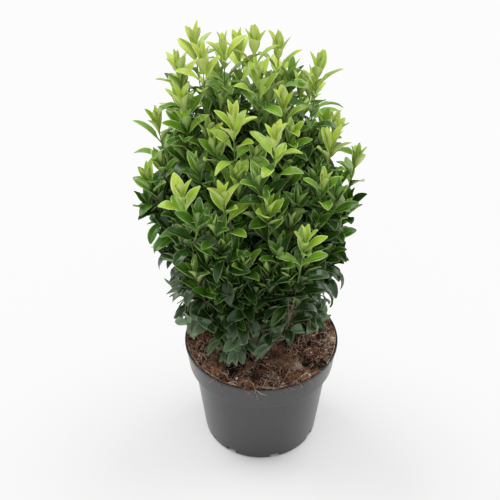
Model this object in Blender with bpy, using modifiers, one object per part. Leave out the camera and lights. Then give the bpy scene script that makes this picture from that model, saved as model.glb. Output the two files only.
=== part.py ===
"""Potted japanese spindle: a small evergreen shrub of upright leafy shoots in a round nursery pot.

Blender 4.5. Metres, +Z up. The origin is the centre of the pot's flat underside.
"""

import math
import random

import bmesh
import bpy
from mathutils import Matrix, Vector, noise

MM = 0.001

# The pot: a thin moulded shell with a collar, a step under it and a tapering wall.
RIM_RADIUS = 95 * MM
POT_HEIGHT = 145 * MM
COLLAR_HEIGHT = 33 * MM
COLLAR_FOOT_RADIUS = 91 * MM
WALL_TOP_RADIUS = 84.5 * MM
BASE_RADIUS = 73.5 * MM
BASE_ROUNDING = 3 * MM
POT_WALL = 1.6 * MM
POT_FLOOR = 2.4 * MM
LIP_WIDTH = 1.0 * MM
LIP_HEIGHT = 3.5 * MM
POT_SIDES = 40
DRAIN_SLOTS = 8
DRAIN_SLOT_TURN = math.radians(-31)
DRAIN_SLOT_WIDTH = 13 * MM
DRAIN_SLOT_DEPTH = 14 * MM
DRAIN_SLOT_HEIGHT = 7 * MM

# The soil: it fills the pot to just under the rim, uneven, and flat under the trunk.
SOIL_LEVEL = 139 * MM
SOIL_UNEVEN = 2.2 * MM
SOIL_LUMP = 30 * MM
SOIL_FLAT = 20 * MM
SOIL_RINGS = 4
GAP = 0.3 * MM

# The trunk: a short leaning foot that forks at once.
TRUNK_FOOT = Vector((-4, 0, 0)) * MM
TRUNK_HEIGHT = 27 * MM
TRUNK_RADIUS = 10 * MM
TRUNK_TAPER = 0.9
TRUNK_LEAN = Vector((-1.5, 1.0, 0)) * MM
FLARE_RADIUS = 14 * MM
FLARE_HEIGHT = 9 * MM
FLARE_LOBES = 5
FLARE_LOBE_DEPTH = 0.12
TRUNK_SIDES = 15

# The boughs: each runs from the trunk's head to the foot of its own mass of foliage.
BOUGH_FOOT_RADIUS = 2.3 * MM
BOUGH_TIP_RADIUS = 1.8 * MM
BOUGH_STEPS = 5
BOUGH_RISE = 0.4
SIDE_ELBOW = 18 * MM
HEAD_ELBOW = 9 * MM
HEAD_REACH = 0.135
SIDE_TIERS = ((0.135, 0.2, 0.76), (0.2, 0.3, 0.48))
SIDE_SPACING = math.radians(28)
HEAD_SPACING = math.radians(46)
SPACING_ROUNDS = 20
HEAD_RING = 6.8 * MM
NECK = 4 * MM

# Every mass keeps to a cone of space that opens upwards from one point below the pot.
FAN_POINT = Vector((0, 0, -94)) * MM
MASS_FOOT_LEVEL = 198 * MM
SPACE_MARGIN = 0.5 * MM
LIMB_CLEARANCE = 1.2 * MM
SOIL_CLEARANCE = 4 * MM
RIM_CLEARANCE = 2.5 * MM

# The crown's outline round its own middle: height and reach, in millimetres.
CROWN_MIDDLE = Vector((-15, 0)) * MM
CROWN_OUTLINE = ((140, 90), (185, 102), (262, 108), (317, 117), (344, 125), (370, 134), (406, 132), (441, 118), (545, 86))

# Shoots, twigs and leaves, the leaves a little larger than life because they are fewer.
SHOOT_FOOT_RADIUS = 1.7 * MM
SHOOT_TIP_RADIUS = 1.0 * MM
SHOOT_STEPS = 4
FORK_RADIUS = 1.4 * MM
TWIG_FOOT_RADIUS = 1.2 * MM
TWIG_TIP_RADIUS = 0.9 * MM
TWIG_REACH = 34 * MM
SIDE_TWIGS = (0.4,)
SKIRT_REACH = 30 * MM
SKIRTS = ((-0.6, 0.2), (0.6, 0.1), (0.0, -0.7))
LEAF_SPACING = 28 * MM
LEAF_LENGTH = 40 * MM
LEAF_WIDTH = 18 * MM
LEAF_THICKNESS = 1.1 * MM
LEAF_ARCH = 0.10
LEAF_FOLD = 0.14
LEAF_DROOP = 0.03
LEAF_ROOT = -0.15 * MM
LEAF_SEPARATION = 13 * MM
UPRIGHT_LEAVES = math.radians(24)
SPREAD_LEAVES = math.radians(78)
SEED = 11

# The tips of the shoots that each mass carries: east, north and height, in millimetres.
SHOOT_TIPS = {
    "left_back": ((-70, 35, 501), (-40, 20, 500)),
    "left_inner": ((-85, 10, 485), (-80, -15, 460), (-60, 0, 495)),
    "back_inner": ((-25, 45, 490), (-10, 70, 455)),
    "centre": ((-10, 15, 507), (-5, -10, 482)),
    "right_inner": ((55, 20, 480), (20, 0, 450)),
    "right_back": ((15, 40, 492), (40, 50, 446)),
    "front_inner": ((-30, -45, 455), (-50, -35, 420)),
    "left": ((-110, 10, 425), (-120, -20, 375)),
    "left_front": ((-80, -85, 395), (-70, -90, 305)),
    "front": ((-40, -80, 390), (-20, -95, 320)),
    "centre_front": ((10, -55, 440), (5, -80, 375)),
    "right_front": ((40, -100, 350), (25, -90, 300)),
    "right": ((70, -10, 410), (60, -50, 385)),
    "far_right": ((101, 20, 375), (82, -24, 335)),
    "far_left_back": ((-90, 50, 430), (-60, 80, 430)),
    "far_right_back": ((55, 75, 440), (78, 52, 398)),
    "back": ((20, 85, 445), (-35, 95, 420)),
}


def linear(hex_colour):
    """The linear colour of an sRGB hex value."""
    channels = [int(hex_colour[i : i + 2], 16) / 255 for i in (1, 3, 5)]
    return [c / 12.92 if c <= 0.04045 else ((c + 0.055) / 1.055) ** 2.4 for c in channels] + [1]


def material(name, hex_colour, roughness):
    """A plain surface colour."""
    made = bpy.data.materials.new(name)
    made.use_nodes = True
    shader = made.node_tree.nodes["Principled BSDF"]
    shader.inputs["Base Color"].default_value = linear(hex_colour)
    shader.inputs["Roughness"].default_value = roughness
    shader.inputs["Metallic"].default_value = 0
    return made


def collection(name, parent=None):
    """A new collection in the scene, or in its parent."""
    made = bpy.data.collections.new(name)
    (parent or bpy.context.scene.collection).children.link(made)
    return made


def add_object(name, data, home):
    """A new object that shows this data."""
    made = bpy.data.objects.new(name, data)
    home.objects.link(made)
    return made


def polyline(name, points, cyclic=False):
    """Curve data of straight runs through the points."""
    curve = bpy.data.curves.new(name, "CURVE")
    curve.dimensions = "3D"
    spline = curve.splines.new("POLY")
    spline.points.add(len(points) - 1)
    for slot, point in zip(spline.points, points):
        slot.co = (*point, 1)
    spline.use_cyclic_u = cyclic
    return curve


def mesh_of(source):
    """The source object's evaluated shape as a plain welded mesh; the source is then removed."""
    bpy.context.view_layer.update()
    evaluated = source.evaluated_get(bpy.context.evaluated_depsgraph_get())
    mesh = bpy.data.meshes.new_from_object(evaluated)
    bpy.data.objects.remove(source)
    shape = bmesh.new()
    shape.from_mesh(mesh)
    bmesh.ops.remove_doubles(shape, verts=shape.verts, dist=0.01 * MM)
    shape.to_mesh(mesh)
    shape.free()
    return mesh


def turned(name, profile, sides, home):
    """A profile of (radius, height) turned round the Z axis, and closed where it meets that axis."""
    mesh = bpy.data.meshes.new(name)
    points = [(radius, 0, height) for radius, height in profile]
    mesh.from_pydata(points, [(i, i + 1) for i in range(len(points) - 1)], [])
    made = add_object(name, mesh, home)
    screw = made.modifiers.new("Turn", "SCREW")
    screw.axis = "Z"
    screw.steps = sides
    screw.render_steps = sides
    screw.use_merge_vertices = True
    screw.merge_threshold = 0.0001
    return made


def rounded(centre, radius, start, end, steps):
    """Points of an arc in a turned profile, by angles in degrees."""
    angles = [math.radians(start + (end - start) * i / steps) for i in range(steps + 1)]
    return [(centre[0] + radius * math.cos(a), centre[1] + radius * math.sin(a)) for a in angles]


def wall_inside(height):
    """The pot's inner radius at a height."""
    step = POT_HEIGHT - COLLAR_HEIGHT
    if height > step:
        widening = (RIM_RADIUS - COLLAR_FOOT_RADIUS) * (height - step) / COLLAR_HEIGHT
        return COLLAR_FOOT_RADIUS - POT_WALL + widening
    return BASE_RADIUS - POT_WALL + (WALL_TOP_RADIUS - BASE_RADIUS) * height / step


def build_pot(home, cutters):
    """The nursery pot: floor, tapering wall, step, collar and a thickened lip, with slots at the foot."""
    step = POT_HEIGHT - COLLAR_HEIGHT
    inside = [
        (0, POT_FLOOR),
        (wall_inside(POT_FLOOR), POT_FLOOR),
        (wall_inside(step), step - POT_WALL),
        (COLLAR_FOOT_RADIUS - POT_WALL, step + POT_WALL),
        (RIM_RADIUS - POT_WALL, POT_HEIGHT - 0.5 * MM),
    ]
    lip = [
        (RIM_RADIUS - POT_WALL + 0.5 * MM, POT_HEIGHT),
        (RIM_RADIUS - 0.5 * MM, POT_HEIGHT),
        (RIM_RADIUS, POT_HEIGHT - 0.5 * MM),
        (RIM_RADIUS - 0.2 * MM, POT_HEIGHT - LIP_HEIGHT),
        (RIM_RADIUS - LIP_WIDTH, POT_HEIGHT - LIP_HEIGHT - 0.8 * MM),
    ]
    collar = [
        (COLLAR_FOOT_RADIUS, step),
        (WALL_TOP_RADIUS + 1.2 * MM, step - 0.6 * MM),
        (WALL_TOP_RADIUS, step - 2.5 * MM),
    ]
    foot = rounded((BASE_RADIUS - BASE_ROUNDING, BASE_ROUNDING), BASE_ROUNDING, 0, -90, 3)
    pot = turned("pot", inside + lip + collar + foot + [(0, 0)], POT_SIDES, home)
    pot.data.materials.append(material("moulded polypropylene", "#5d6063", 0.5))
    for index in range(DRAIN_SLOTS):
        turn = DRAIN_SLOT_TURN + index * math.tau / DRAIN_SLOTS
        block = bmesh.new()
        bmesh.ops.create_cube(block, size=1)
        size = Vector((DRAIN_SLOT_DEPTH, DRAIN_SLOT_WIDTH, 2 * DRAIN_SLOT_HEIGHT))
        bmesh.ops.scale(block, vec=size, verts=block.verts)
        mesh = bpy.data.meshes.new("drain_slot")
        block.to_mesh(mesh)
        block.free()
        cutter = add_object(f"drain_slot_{index + 1}", mesh, cutters)
        cutter.location = Vector((math.cos(turn), math.sin(turn), 0)) * (BASE_RADIUS - 1.5 * MM)
        cutter.rotation_euler.z = turn
        cutter.hide_render = True
        cutter.display_type = "WIRE"
    slots = pot.modifiers.new("Drain slots", "BOOLEAN")
    slots.operation = "DIFFERENCE"
    slots.operand_type = "COLLECTION"
    slots.collection = cutters
    return pot


def soil_height(x, y):
    """The soil's surface: lumps that die out under the trunk."""
    away = (Vector((x, y, 0)) - TRUNK_FOOT).length
    calm = min(1, max(0, (away - SOIL_FLAT + TRUNK_FOOT.x) / (12 * MM)))
    lump = noise.noise(Vector((x, y, 0)) / SOIL_LUMP)
    lump += 0.5 * noise.noise(Vector((y, x, SOIL_LUMP)) / SOIL_LUMP * 2)
    return SOIL_LEVEL + SOIL_UNEVEN * calm * lump


def build_soil(home):
    """The root ball and soil: a solid fill a hair clear of the pot, with an uneven top."""
    step = POT_HEIGHT - COLLAR_HEIGHT
    brim = wall_inside(SOIL_LEVEL) - 2 * GAP
    rings = [SOIL_FLAT + (brim - SOIL_FLAT) * i / SOIL_RINGS for i in range(SOIL_RINGS + 1)]
    top = [(radius, SOIL_LEVEL) for radius in [0] + rings]
    side = [
        (COLLAR_FOOT_RADIUS - POT_WALL - 2 * GAP, step + POT_WALL + GAP),
        (wall_inside(step) - 3 * GAP, step + POT_WALL + GAP),
        (wall_inside(POT_FLOOR) - 3 * GAP - BASE_ROUNDING, POT_FLOOR + GAP),
        (0, POT_FLOOR + GAP),
    ]
    mesh = mesh_of(turned("soil_blank", top + side, POT_SIDES, home))
    for vertex in mesh.vertices:
        if vertex.co.z > SOIL_LEVEL - 0.01 * MM:
            vertex.co.z = soil_height(vertex.co.x, vertex.co.y)
    soil = add_object("potting_soil", mesh, home)
    soil.data.materials.append(material("peat and coir", "#4a3425", 0.95))
    return soil


def trunk_radius(height):
    """The trunk's mean radius at a height over the soil."""
    taper = TRUNK_RADIUS * (1 - (1 - TRUNK_TAPER) * height / TRUNK_HEIGHT)
    flare = max(0, 1 - height / FLARE_HEIGHT) ** 2
    return taper + (FLARE_RADIUS - TRUNK_RADIUS) * flare


def trunk_centre(height):
    """The trunk's middle at a height over the soil."""
    return TRUNK_FOOT + TRUNK_LEAN * (height / TRUNK_HEIGHT) + Vector((0, 0, SOIL_LEVEL + GAP + height))


def build_trunk(home):
    """The short trunk: a flat cut at the soil, a lobed flare, a slight lean and a domed head."""
    heights = [0, 2.5 * MM, 5 * MM, FLARE_HEIGHT, 15 * MM, 21 * MM, TRUNK_HEIGHT - 3 * MM]
    profile = [(0, TRUNK_HEIGHT), (0.75 * trunk_radius(TRUNK_HEIGHT), TRUNK_HEIGHT)]
    profile += [(trunk_radius(height), height) for height in reversed(heights)]
    mesh = mesh_of(turned("trunk_blank", profile + [(0, 0)], TRUNK_SIDES, home))
    for vertex in mesh.vertices:
        height = vertex.co.z
        flare = max(0, 1 - height / FLARE_HEIGHT)
        turn = math.atan2(vertex.co.y, vertex.co.x)
        lobed = 1 + FLARE_LOBE_DEPTH * flare * math.cos(FLARE_LOBES * turn)
        vertex.co = trunk_centre(height) + Vector((vertex.co.x * lobed, vertex.co.y * lobed, 0))
    trunk = add_object("trunk", mesh, home)
    trunk.data.materials.append(material("spindle bark", "#5b4a38", 0.85))
    return trunk


def crown_reach(height):
    """How far the crown reaches from its middle at a height."""
    for (low, near), (high, far) in zip(CROWN_OUTLINE, CROWN_OUTLINE[1:]):
        if height <= high * MM:
            return (near + (far - near) * max(0, height / MM - low) / (high - low)) * MM
    return CROWN_OUTLINE[-1][1] * MM


def fan(point):
    """Where a point lies across the fan of cones: its slopes from the fan's point."""
    away = point - FAN_POINT
    return Vector((away.x, away.y)) / away.z


def bezier(start, handle, end, t):
    """A point of a quadratic curve."""
    return start * (1 - t) ** 2 + handle * (2 * t * (1 - t)) + end * t**2


class Mass:
    """One mass of foliage: its shoots' tips, the cone of space it keeps to and the bough that carries it."""

    def __init__(self, name, tips):
        self.name = name
        self.tips = [Vector(tip) * MM for tip in tips]
        self.centre = sum((fan(tip) for tip in self.tips), Vector((0, 0))) / len(self.tips)
        rise = MASS_FOOT_LEVEL - FAN_POINT.z
        self.foot = FAN_POINT + Vector((self.centre.x, self.centre.y, 1)) * rise
        self.outer = self.centre.length > HEAD_REACH
        self.bough = []

    def overreach(self, point, others):
        """How far a point lies past the nearest wall of this mass's space; negative inside it."""
        away = point - FAN_POINT
        worst = -1.0
        for other in others:
            if other is self:
                continue
            across = 2 * (other.centre - self.centre)
            rise = self.centre.length_squared - other.centre.length_squared
            wall = Vector((across.x, across.y, rise))
            worst = max(worst, wall.dot(away) / wall.length)
        return worst


def bough_path(start, aim, elbow, foot):
    """A bough's points: a short straight start along its aim, then one curve to the mass's foot."""
    knee = start + aim.normalized() * NECK
    handle = knee + aim * elbow
    return [start] + [bezier(knee, handle, foot, i / BOUGH_STEPS) for i in range(BOUGH_STEPS + 1)]


def spaced_turns(group, least):
    """Each mass's own direction round the trunk, with close neighbours pushed apart to the least angle."""
    turns = [math.atan2(mass.centre.y, mass.centre.x) for mass in group]
    for _ in range(SPACING_ROUNDS):
        for i in range(len(turns)):
            j = (i + 1) % len(turns)
            apart = (turns[j] - turns[i]) % math.tau
            push = max(0, least - apart) / 2
            turns[i] -= push
            turns[j] += push
    return turns


def route_boughs(masses):
    """Gives each mass its bough: the far ones leave the trunk's side in two tiers, the near ones its head."""
    by_turn = sorted(masses, key=lambda mass: math.atan2(mass.centre.y, mass.centre.x))
    middle = min(masses, key=lambda mass: mass.centre.length)
    head = trunk_centre(TRUNK_HEIGHT) + Vector((0, 0, GAP))
    upwards = Vector((0, 0, 1))
    middle.bough = bough_path(head, upwards, HEAD_ELBOW, middle.foot)
    ring = [mass for mass in by_turn if mass is not middle and mass.centre.length < HEAD_REACH]
    for mass, turn in zip(ring, spaced_turns(ring, HEAD_SPACING)):
        out = Vector((math.cos(turn), math.sin(turn), 0))
        mass.bough = bough_path(head + out * HEAD_RING, upwards, HEAD_ELBOW, mass.foot)
    for nearest, furthest, share in SIDE_TIERS:
        tier = [mass for mass in by_turn if nearest <= mass.centre.length < furthest]
        height = TRUNK_HEIGHT * share
        for mass, turn in zip(tier, spaced_turns(tier, SIDE_SPACING)):
            out = Vector((math.cos(turn), math.sin(turn), 0))
            away = trunk_radius(height) + GAP + BOUGH_FOOT_RADIUS * BOUGH_RISE
            aim = out + upwards * BOUGH_RISE
            mass.bough = bough_path(trunk_centre(height) + out * away, aim, SIDE_ELBOW, mass.foot)


def bough_radius(t):
    """A bough's radius along its length, from 0 to 1."""
    return BOUGH_FOOT_RADIUS + (BOUGH_TIP_RADIUS - BOUGH_FOOT_RADIUS) * t


def build_bough(mass, home):
    """One tapering bough, a round limb cut flat at both ends."""
    curve = polyline("bough_" + mass.name, mass.bough)
    curve.bevel_depth = 1
    curve.bevel_resolution = 1
    curve.use_fill_caps = True
    for index, point in enumerate(curve.splines[0].points):
        point.radius = bough_radius(index / (len(mass.bough) - 1))
    mesh = mesh_of(add_object(curve.name + "_curve", curve, home))
    bough = add_object(curve.name, mesh, home)
    bough.data.materials.append(bpy.data.materials["spindle bark"])
    return bough


def leaf_mesh():
    """A leaf one unit long along +X and one unit wide, folded up along its midrib and arched, lying in XY."""
    margin = LEAF_ARCH + LEAF_FOLD * LEAF_WIDTH / LEAF_LENGTH
    thick = LEAF_THICKNESS / LEAF_LENGTH
    points = [
        (LEAF_ROOT / LEAF_LENGTH, 0, 0),
        (1, 0, -LEAF_DROOP),
        (0.52, 0.5, margin),
        (0.52, -0.5, margin),
        (0.4, 0, LEAF_ARCH * 0.8),
        (0.4, 0, LEAF_ARCH * 0.8 - thick),
    ]
    root, tip, left, right, rib_top, rib_low = range(6)
    faces = [(root, right, rib_top), (right, tip, rib_top), (tip, left, rib_top), (left, root, rib_top)]
    faces += [(right, root, rib_low), (tip, right, rib_low), (left, tip, rib_low), (root, left, rib_low)]
    mesh = bpy.data.meshes.new("leaf")
    mesh.from_pydata(points, [], faces)
    return mesh


def across(tangent, turn):
    """A unit vector square to the tangent, at an angle round it."""
    side = tangent.cross(Vector((0, 1, 0)))
    side.normalize()
    return Matrix.Rotation(turn, 3, tangent) @ side


def leaf_matrix(root, tangent, turn, spread, length, width):
    """Places a leaf: its root, the stem's direction, its turn round the stem and its angle from it."""
    out = across(tangent, turn)
    along = tangent * math.cos(spread) + out * math.sin(spread)
    up = tangent * math.sin(spread) - out * math.cos(spread)
    side = up.cross(along)
    frame = Matrix((along * length, side * width, up * length)).transposed().to_4x4()
    frame.translation = root
    return frame


def distance_to_path(point, path, radius_at):
    """The distance from a point to the surface of a limb along a path."""
    best = 1.0
    last = len(path) - 1
    for i in range(last):
        run = path[i + 1] - path[i]
        t = min(1, max(0, (point - path[i]).dot(run) / run.length_squared))
        best = min(best, (point - path[i] - run * t).length - radius_at((i + t) / last))
    return best


class Grower:
    """Grows the twigs and leaves of one mass by a seeded rule, and skips what would leave its space."""

    def __init__(self, mass, masses, blade, twig_section, index):
        self.mass = mass
        self.masses = masses
        self.blade = blade
        self.section = twig_section
        self.draw = random.Random(SEED + index)
        self.home = collection("pieces_of_" + mass.name)
        self.twigs = []
        self.leaf_middles = []

    def fits(self, point, margin):
        """Whether a point keeps to the mass's space, over the soil and the rim and off every limb."""
        if self.mass.overreach(point, self.masses) > -margin:
            return False
        reach = math.hypot(point.x, point.y)
        if (point.xy - CROWN_MIDDLE).length > crown_reach(point.z):
            return False
        if point.z < soil_height(point.x, point.y) + SOIL_CLEARANCE:
            return False
        if reach > RIM_RADIUS - 5 * MM and point.z < POT_HEIGHT + RIM_CLEARANCE:
            return False
        for other in self.masses:
            if distance_to_path(point, other.bough, bough_radius) < margin + LIMB_CLEARANCE - SPACE_MARGIN:
                return False
        return (point - trunk_centre(TRUNK_HEIGHT)).length > TRUNK_RADIUS + LIMB_CLEARANCE

    def add_twig(self, path, foot_radius, tip_radius):
        """A three-sided twig along a path."""
        curve = polyline("twig", path)
        curve.bevel_mode = "OBJECT"
        curve.bevel_object = self.section
        curve.use_fill_caps = True
        last = len(path) - 1
        for i, point in enumerate(curve.splines[0].points):
            point.radius = foot_radius + (tip_radius - foot_radius) * i / last
        mesh = mesh_of(add_object("twig_curve", curve, self.home))
        self.twigs.append(add_object("twig", mesh, self.home))

    def add_leaf(self, root, tangent, turn, spread, size):
        """A leaf, tried a few times with a closer or shorter stance before it is given up."""
        for squeeze in (1.0, 0.8, 0.6, 0.4):
            length = LEAF_LENGTH * size * (0.6 + 0.4 * squeeze)
            place = leaf_matrix(root, tangent, turn, spread * squeeze, length, LEAF_WIDTH * size)
            middle = place @ Vector((0.6, 0, LEAF_ARCH))
            if any((middle - other).length < LEAF_SEPARATION for other in self.leaf_middles):
                continue
            if all(self.fits(place @ point.co, SPACE_MARGIN) for point in self.blade.vertices if point.co.x > 0.1):
                leaf = add_object("leaf", self.blade, self.home)
                leaf.matrix_world = place
                self.leaf_middles.append(middle)
                return

    def add_leaves(self, path, spacing, first, last_spread, size):
        """Pairs of leaves along a path, each pair turned a quarter from the one below, closing up to the tip."""
        lengths = [0.0]
        for a, b in zip(path, path[1:]):
            lengths.append(lengths[-1] + (b - a).length)
        total = lengths[-1]
        count = max(1, int((total - first) / spacing))
        turn = self.draw.uniform(0, math.tau)
        for node in range(count + 1):
            reach = total - (total - first) * (1 - node / count) if count else total
            run = max(i for i, length in enumerate(lengths[:-1]) if length <= reach + 1e-9)
            tangent = (path[run + 1] - path[run]).normalized()
            root = path[run] + tangent * (reach - lengths[run])
            from_tip = (total - reach) / total
            openness = min(1, from_tip * 1.9 + 0.04)
            spread = UPRIGHT_LEAVES + (last_spread - UPRIGHT_LEAVES) * openness
            turn += math.pi / 2 + self.draw.uniform(-0.3, 0.3)
            if node == count:
                root = root - tangent * 1.2 * MM
            for side in (0, math.pi):
                wander = self.draw.uniform(-0.14, 0.14)
                grown = size * self.draw.uniform(0.86, 1.1) * (0.82 if node == count else 1)
                self.add_leaf(root, tangent, turn + side + wander, spread + wander, grown)

    def grow(self):
        """The whole mass: a stem and its main shoot, forks to the other tips, side twigs and a low skirt."""
        mass = self.mass
        rise = (mass.foot - mass.bough[-2]).normalized()
        foot = mass.foot + rise * GAP
        neck = foot + rise * NECK
        stem = None
        for tip in mass.tips:
            start = neck if stem is None else bezier(*stem, self.draw.uniform(0.16, 0.26))
            handle = Vector((*(start.xy.lerp(tip.xy, 0.62)), start.z + (tip.z - start.z) * 0.45))
            path = [bezier(start, handle, tip, i / SHOOT_STEPS) for i in range(SHOOT_STEPS + 1)]
            if stem is None:
                self.add_twig([foot] + path, SHOOT_FOOT_RADIUS, SHOOT_TIP_RADIUS)
            else:
                self.add_twig(path, FORK_RADIUS, SHOOT_TIP_RADIUS)
            self.add_leaves(path, LEAF_SPACING, 26 * MM, SPREAD_LEAVES, 1.0)
            self.add_side_twigs((start, handle, tip))
            stem = stem or (start, handle, tip)
        if mass.outer:
            self.add_skirt(stem)

    def add_side_twigs(self, stem):
        """Short twigs that leave a shoot's lower half and turn up beside it."""
        for t in SIDE_TWIGS:
            root = bezier(*stem, t + self.draw.uniform(-0.05, 0.05))
            tangent = (bezier(*stem, t + 0.06) - bezier(*stem, t)).normalized()
            turn = self.draw.uniform(0, math.tau)
            for attempt in range(6):
                out = across(tangent, turn + attempt * math.tau / 6)
                reach = TWIG_REACH * self.draw.uniform(0.8, 1.15)
                tip = root + (out * 0.62 + Vector((0, 0, 0.78))) * reach
                if self.fits(tip, 9 * MM):
                    elbow = root + out * reach * 0.4 + Vector((0, 0, 0.25)) * reach
                    path = [bezier(root, elbow, tip, i / 2) for i in range(3)]
                    self.add_twig(path, TWIG_FOOT_RADIUS, TWIG_TIP_RADIUS)
                    self.add_leaves(path, 16 * MM, 17 * MM, math.radians(60), 0.88)
                    break

    def add_skirt(self, stem):
        """Low twigs that lean out over the rim, or droop to the soil, from the mass's foot."""
        home = math.atan2(self.mass.centre.y, self.mass.centre.x)
        for swing, rise in SKIRTS:
            turn = home + swing + self.draw.uniform(-0.1, 0.1)
            out = Vector((math.cos(turn), math.sin(turn), 0))
            root = bezier(*stem, 0.03)
            reach = SKIRT_REACH * self.draw.uniform(0.85, 1.1)
            tip = root + (out + Vector((0, 0, rise))) * reach
            if not self.fits(tip, 4 * MM):
                continue
            elbow = root + (out * 0.5 + Vector((0, 0, rise * 0.5 + 0.15))) * reach
            path = [bezier(root, elbow, tip, i / 3) for i in range(4)]
            self.add_twig(path, TWIG_FOOT_RADIUS, TWIG_TIP_RADIUS)
            self.add_leaves(path, 16 * MM, 12 * MM, math.radians(70), 0.92)

    def join(self, home, green):
        """One Boolean union makes the mass one closed body; its loose scraps and sealed hollows go."""
        base = self.twigs.pop(0)
        self.home.objects.unlink(base)
        home.objects.link(base)
        base.name = "foliage_" + self.mass.name
        union = base.modifiers.new("Join", "BOOLEAN")
        union.operation = "UNION"
        union.operand_type = "COLLECTION"
        union.collection = self.home
        union.solver = "MANIFOLD"
        bpy.context.view_layer.update()
        evaluated = base.evaluated_get(bpy.context.evaluated_depsgraph_get())
        mesh = bpy.data.meshes.new_from_object(evaluated)
        base.modifiers.clear()
        base.data = keep_largest_shell(mesh)
        base.data.materials.clear()
        base.data.materials.append(green)
        for piece in list(self.home.objects):
            bpy.data.objects.remove(piece)
        bpy.data.collections.remove(self.home)
        return base


def keep_largest_shell(mesh):
    """Drops every shell of a mesh but the one with the most faces."""
    shape = bmesh.new()
    shape.from_mesh(mesh)
    bmesh.ops.triangulate(shape, faces=shape.faces)
    unseen = set(shape.faces)
    shells = []
    while unseen:
        shell = set()
        waiting = [unseen.pop()]
        while waiting:
            face = waiting.pop()
            shell.add(face)
            for edge in face.edges:
                for other in edge.link_faces:
                    if other in unseen:
                        unseen.remove(other)
                        waiting.append(other)
        shells.append(shell)
    shells.sort(key=len)
    loose = [face for shell in shells[:-1] for face in shell]
    bmesh.ops.delete(shape, geom=loose, context="FACES")
    shape.to_mesh(mesh)
    shape.free()
    return mesh


def build_foliage(masses, home):
    """Every mass of foliage, each a single solid in its own space."""
    green = material("spindle leaf", "#3f6b23", 0.35)
    blade = leaf_mesh()
    corners = [(math.cos(i * math.tau / 3), -math.sin(i * math.tau / 3), 0) for i in range(3)]
    section = add_object("twig_section", polyline("twig_section", corners, cyclic=True), home)
    for index, mass in enumerate(masses):
        grower = Grower(mass, masses, blade, section, index)
        grower.grow()
        grower.join(home, green)
    bpy.data.objects.remove(section)


def main():
    for old in list(bpy.data.objects):
        bpy.data.objects.remove(old)
    home = collection("potted_japanese_spindle")
    cutters = collection("cutters")
    build_pot(home, cutters)
    build_soil(home)
    build_trunk(home)
    masses = [Mass(name, tips) for name, tips in SHOOT_TIPS.items()]
    route_boughs(masses)
    for mass in masses:
        build_bough(mass, home)
    build_foliage(masses, home)


main()
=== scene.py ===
"""Looks of the potted japanese spindle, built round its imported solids.

Blender 4.5, laid out as an add-on and run as a script.
Metres, +Z up, origin at the centre of the pot's underside.
"""

import functools
import math
import random

import bmesh
import bpy
import numpy as np
from bpy.props import FloatProperty, FloatVectorProperty, IntProperty, PointerProperty
from mathutils import Matrix, Vector, kdtree, noise


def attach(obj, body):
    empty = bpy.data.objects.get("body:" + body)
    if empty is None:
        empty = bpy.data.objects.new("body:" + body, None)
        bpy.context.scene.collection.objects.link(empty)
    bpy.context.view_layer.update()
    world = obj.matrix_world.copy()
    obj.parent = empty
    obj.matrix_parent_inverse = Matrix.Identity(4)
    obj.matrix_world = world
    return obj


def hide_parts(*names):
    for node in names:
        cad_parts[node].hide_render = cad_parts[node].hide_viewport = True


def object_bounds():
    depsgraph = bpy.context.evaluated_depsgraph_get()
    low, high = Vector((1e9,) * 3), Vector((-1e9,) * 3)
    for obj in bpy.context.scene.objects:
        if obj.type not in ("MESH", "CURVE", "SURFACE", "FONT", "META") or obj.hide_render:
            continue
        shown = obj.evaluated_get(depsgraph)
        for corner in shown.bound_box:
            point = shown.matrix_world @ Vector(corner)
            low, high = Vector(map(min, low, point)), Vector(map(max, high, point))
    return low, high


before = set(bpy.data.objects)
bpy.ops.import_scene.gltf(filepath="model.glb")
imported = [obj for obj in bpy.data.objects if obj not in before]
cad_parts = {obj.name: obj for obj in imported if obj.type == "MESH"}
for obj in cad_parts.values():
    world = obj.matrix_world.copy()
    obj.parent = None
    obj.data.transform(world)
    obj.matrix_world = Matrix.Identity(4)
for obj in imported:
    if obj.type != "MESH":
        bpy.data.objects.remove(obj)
CAD_LOW, CAD_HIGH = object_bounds()

bl_info = {
    "name": "Potted spindle looks",
    "version": (1, 0, 0),
    "blender": (4, 5, 0),
    "location": "View3D > Sidebar > Spindle",
    "description": "Pot, soil, stems and leaves of a small evergreen shrub",
    "category": "Object",
}

MM = 0.001
UP = Vector((0, 0, 1))
BLACK = [0, 0, 0, 1]
SEED = 11

# The pot, as in the solids, with the finer roundings that a moulding has.
RIM_RADIUS = 95 * MM
POT_HEIGHT = 145 * MM
COLLAR_HEIGHT = 33 * MM
COLLAR_FOOT_RADIUS = 91 * MM
COLLAR_ROUNDING = 1.2 * MM
STEP_HEIGHT = POT_HEIGHT - COLLAR_HEIGHT
STEP_ROUNDING = 1.1 * MM
WALL_TOP_RADIUS = 84.5 * MM
BASE_RADIUS = 73.5 * MM
BASE_ROUNDING = 3 * MM
POT_WALL = 1.6 * MM
POT_FLOOR = 2.4 * MM
LIP_HEIGHT = 3.5 * MM
LIP_ROUNDING = 0.75 * MM
DRAIN_SLOTS = 8
DRAIN_SLOT_TURN = math.radians(-31)
DRAIN_SLOT_SIZE = Vector((14, 13, 14)) * MM
DRAIN_SLOT_INSET = 1.5 * MM

# The soil, as in the solids, with the clods, the crumbs and the bank against the wall that the bed adds.
SOIL_LEVEL = 139 * MM
SOIL_UNEVEN = 2.2 * MM
SOIL_LUMP = 30 * MM
SOIL_FLAT = 20 * MM
CLOD_SIZE = 15 * MM
CLOD_HEIGHT = 5.6 * MM
CRUMB_SIZE = 5 * MM
CRUMB_HEIGHT = 1.6 * MM
BANK_START = 0.75
BANK_RISE = 19 * MM
BED_TOP = POT_HEIGHT - 0.8 * MM
BED_SPOKES = 180
GAP = 0.3 * MM

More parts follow.
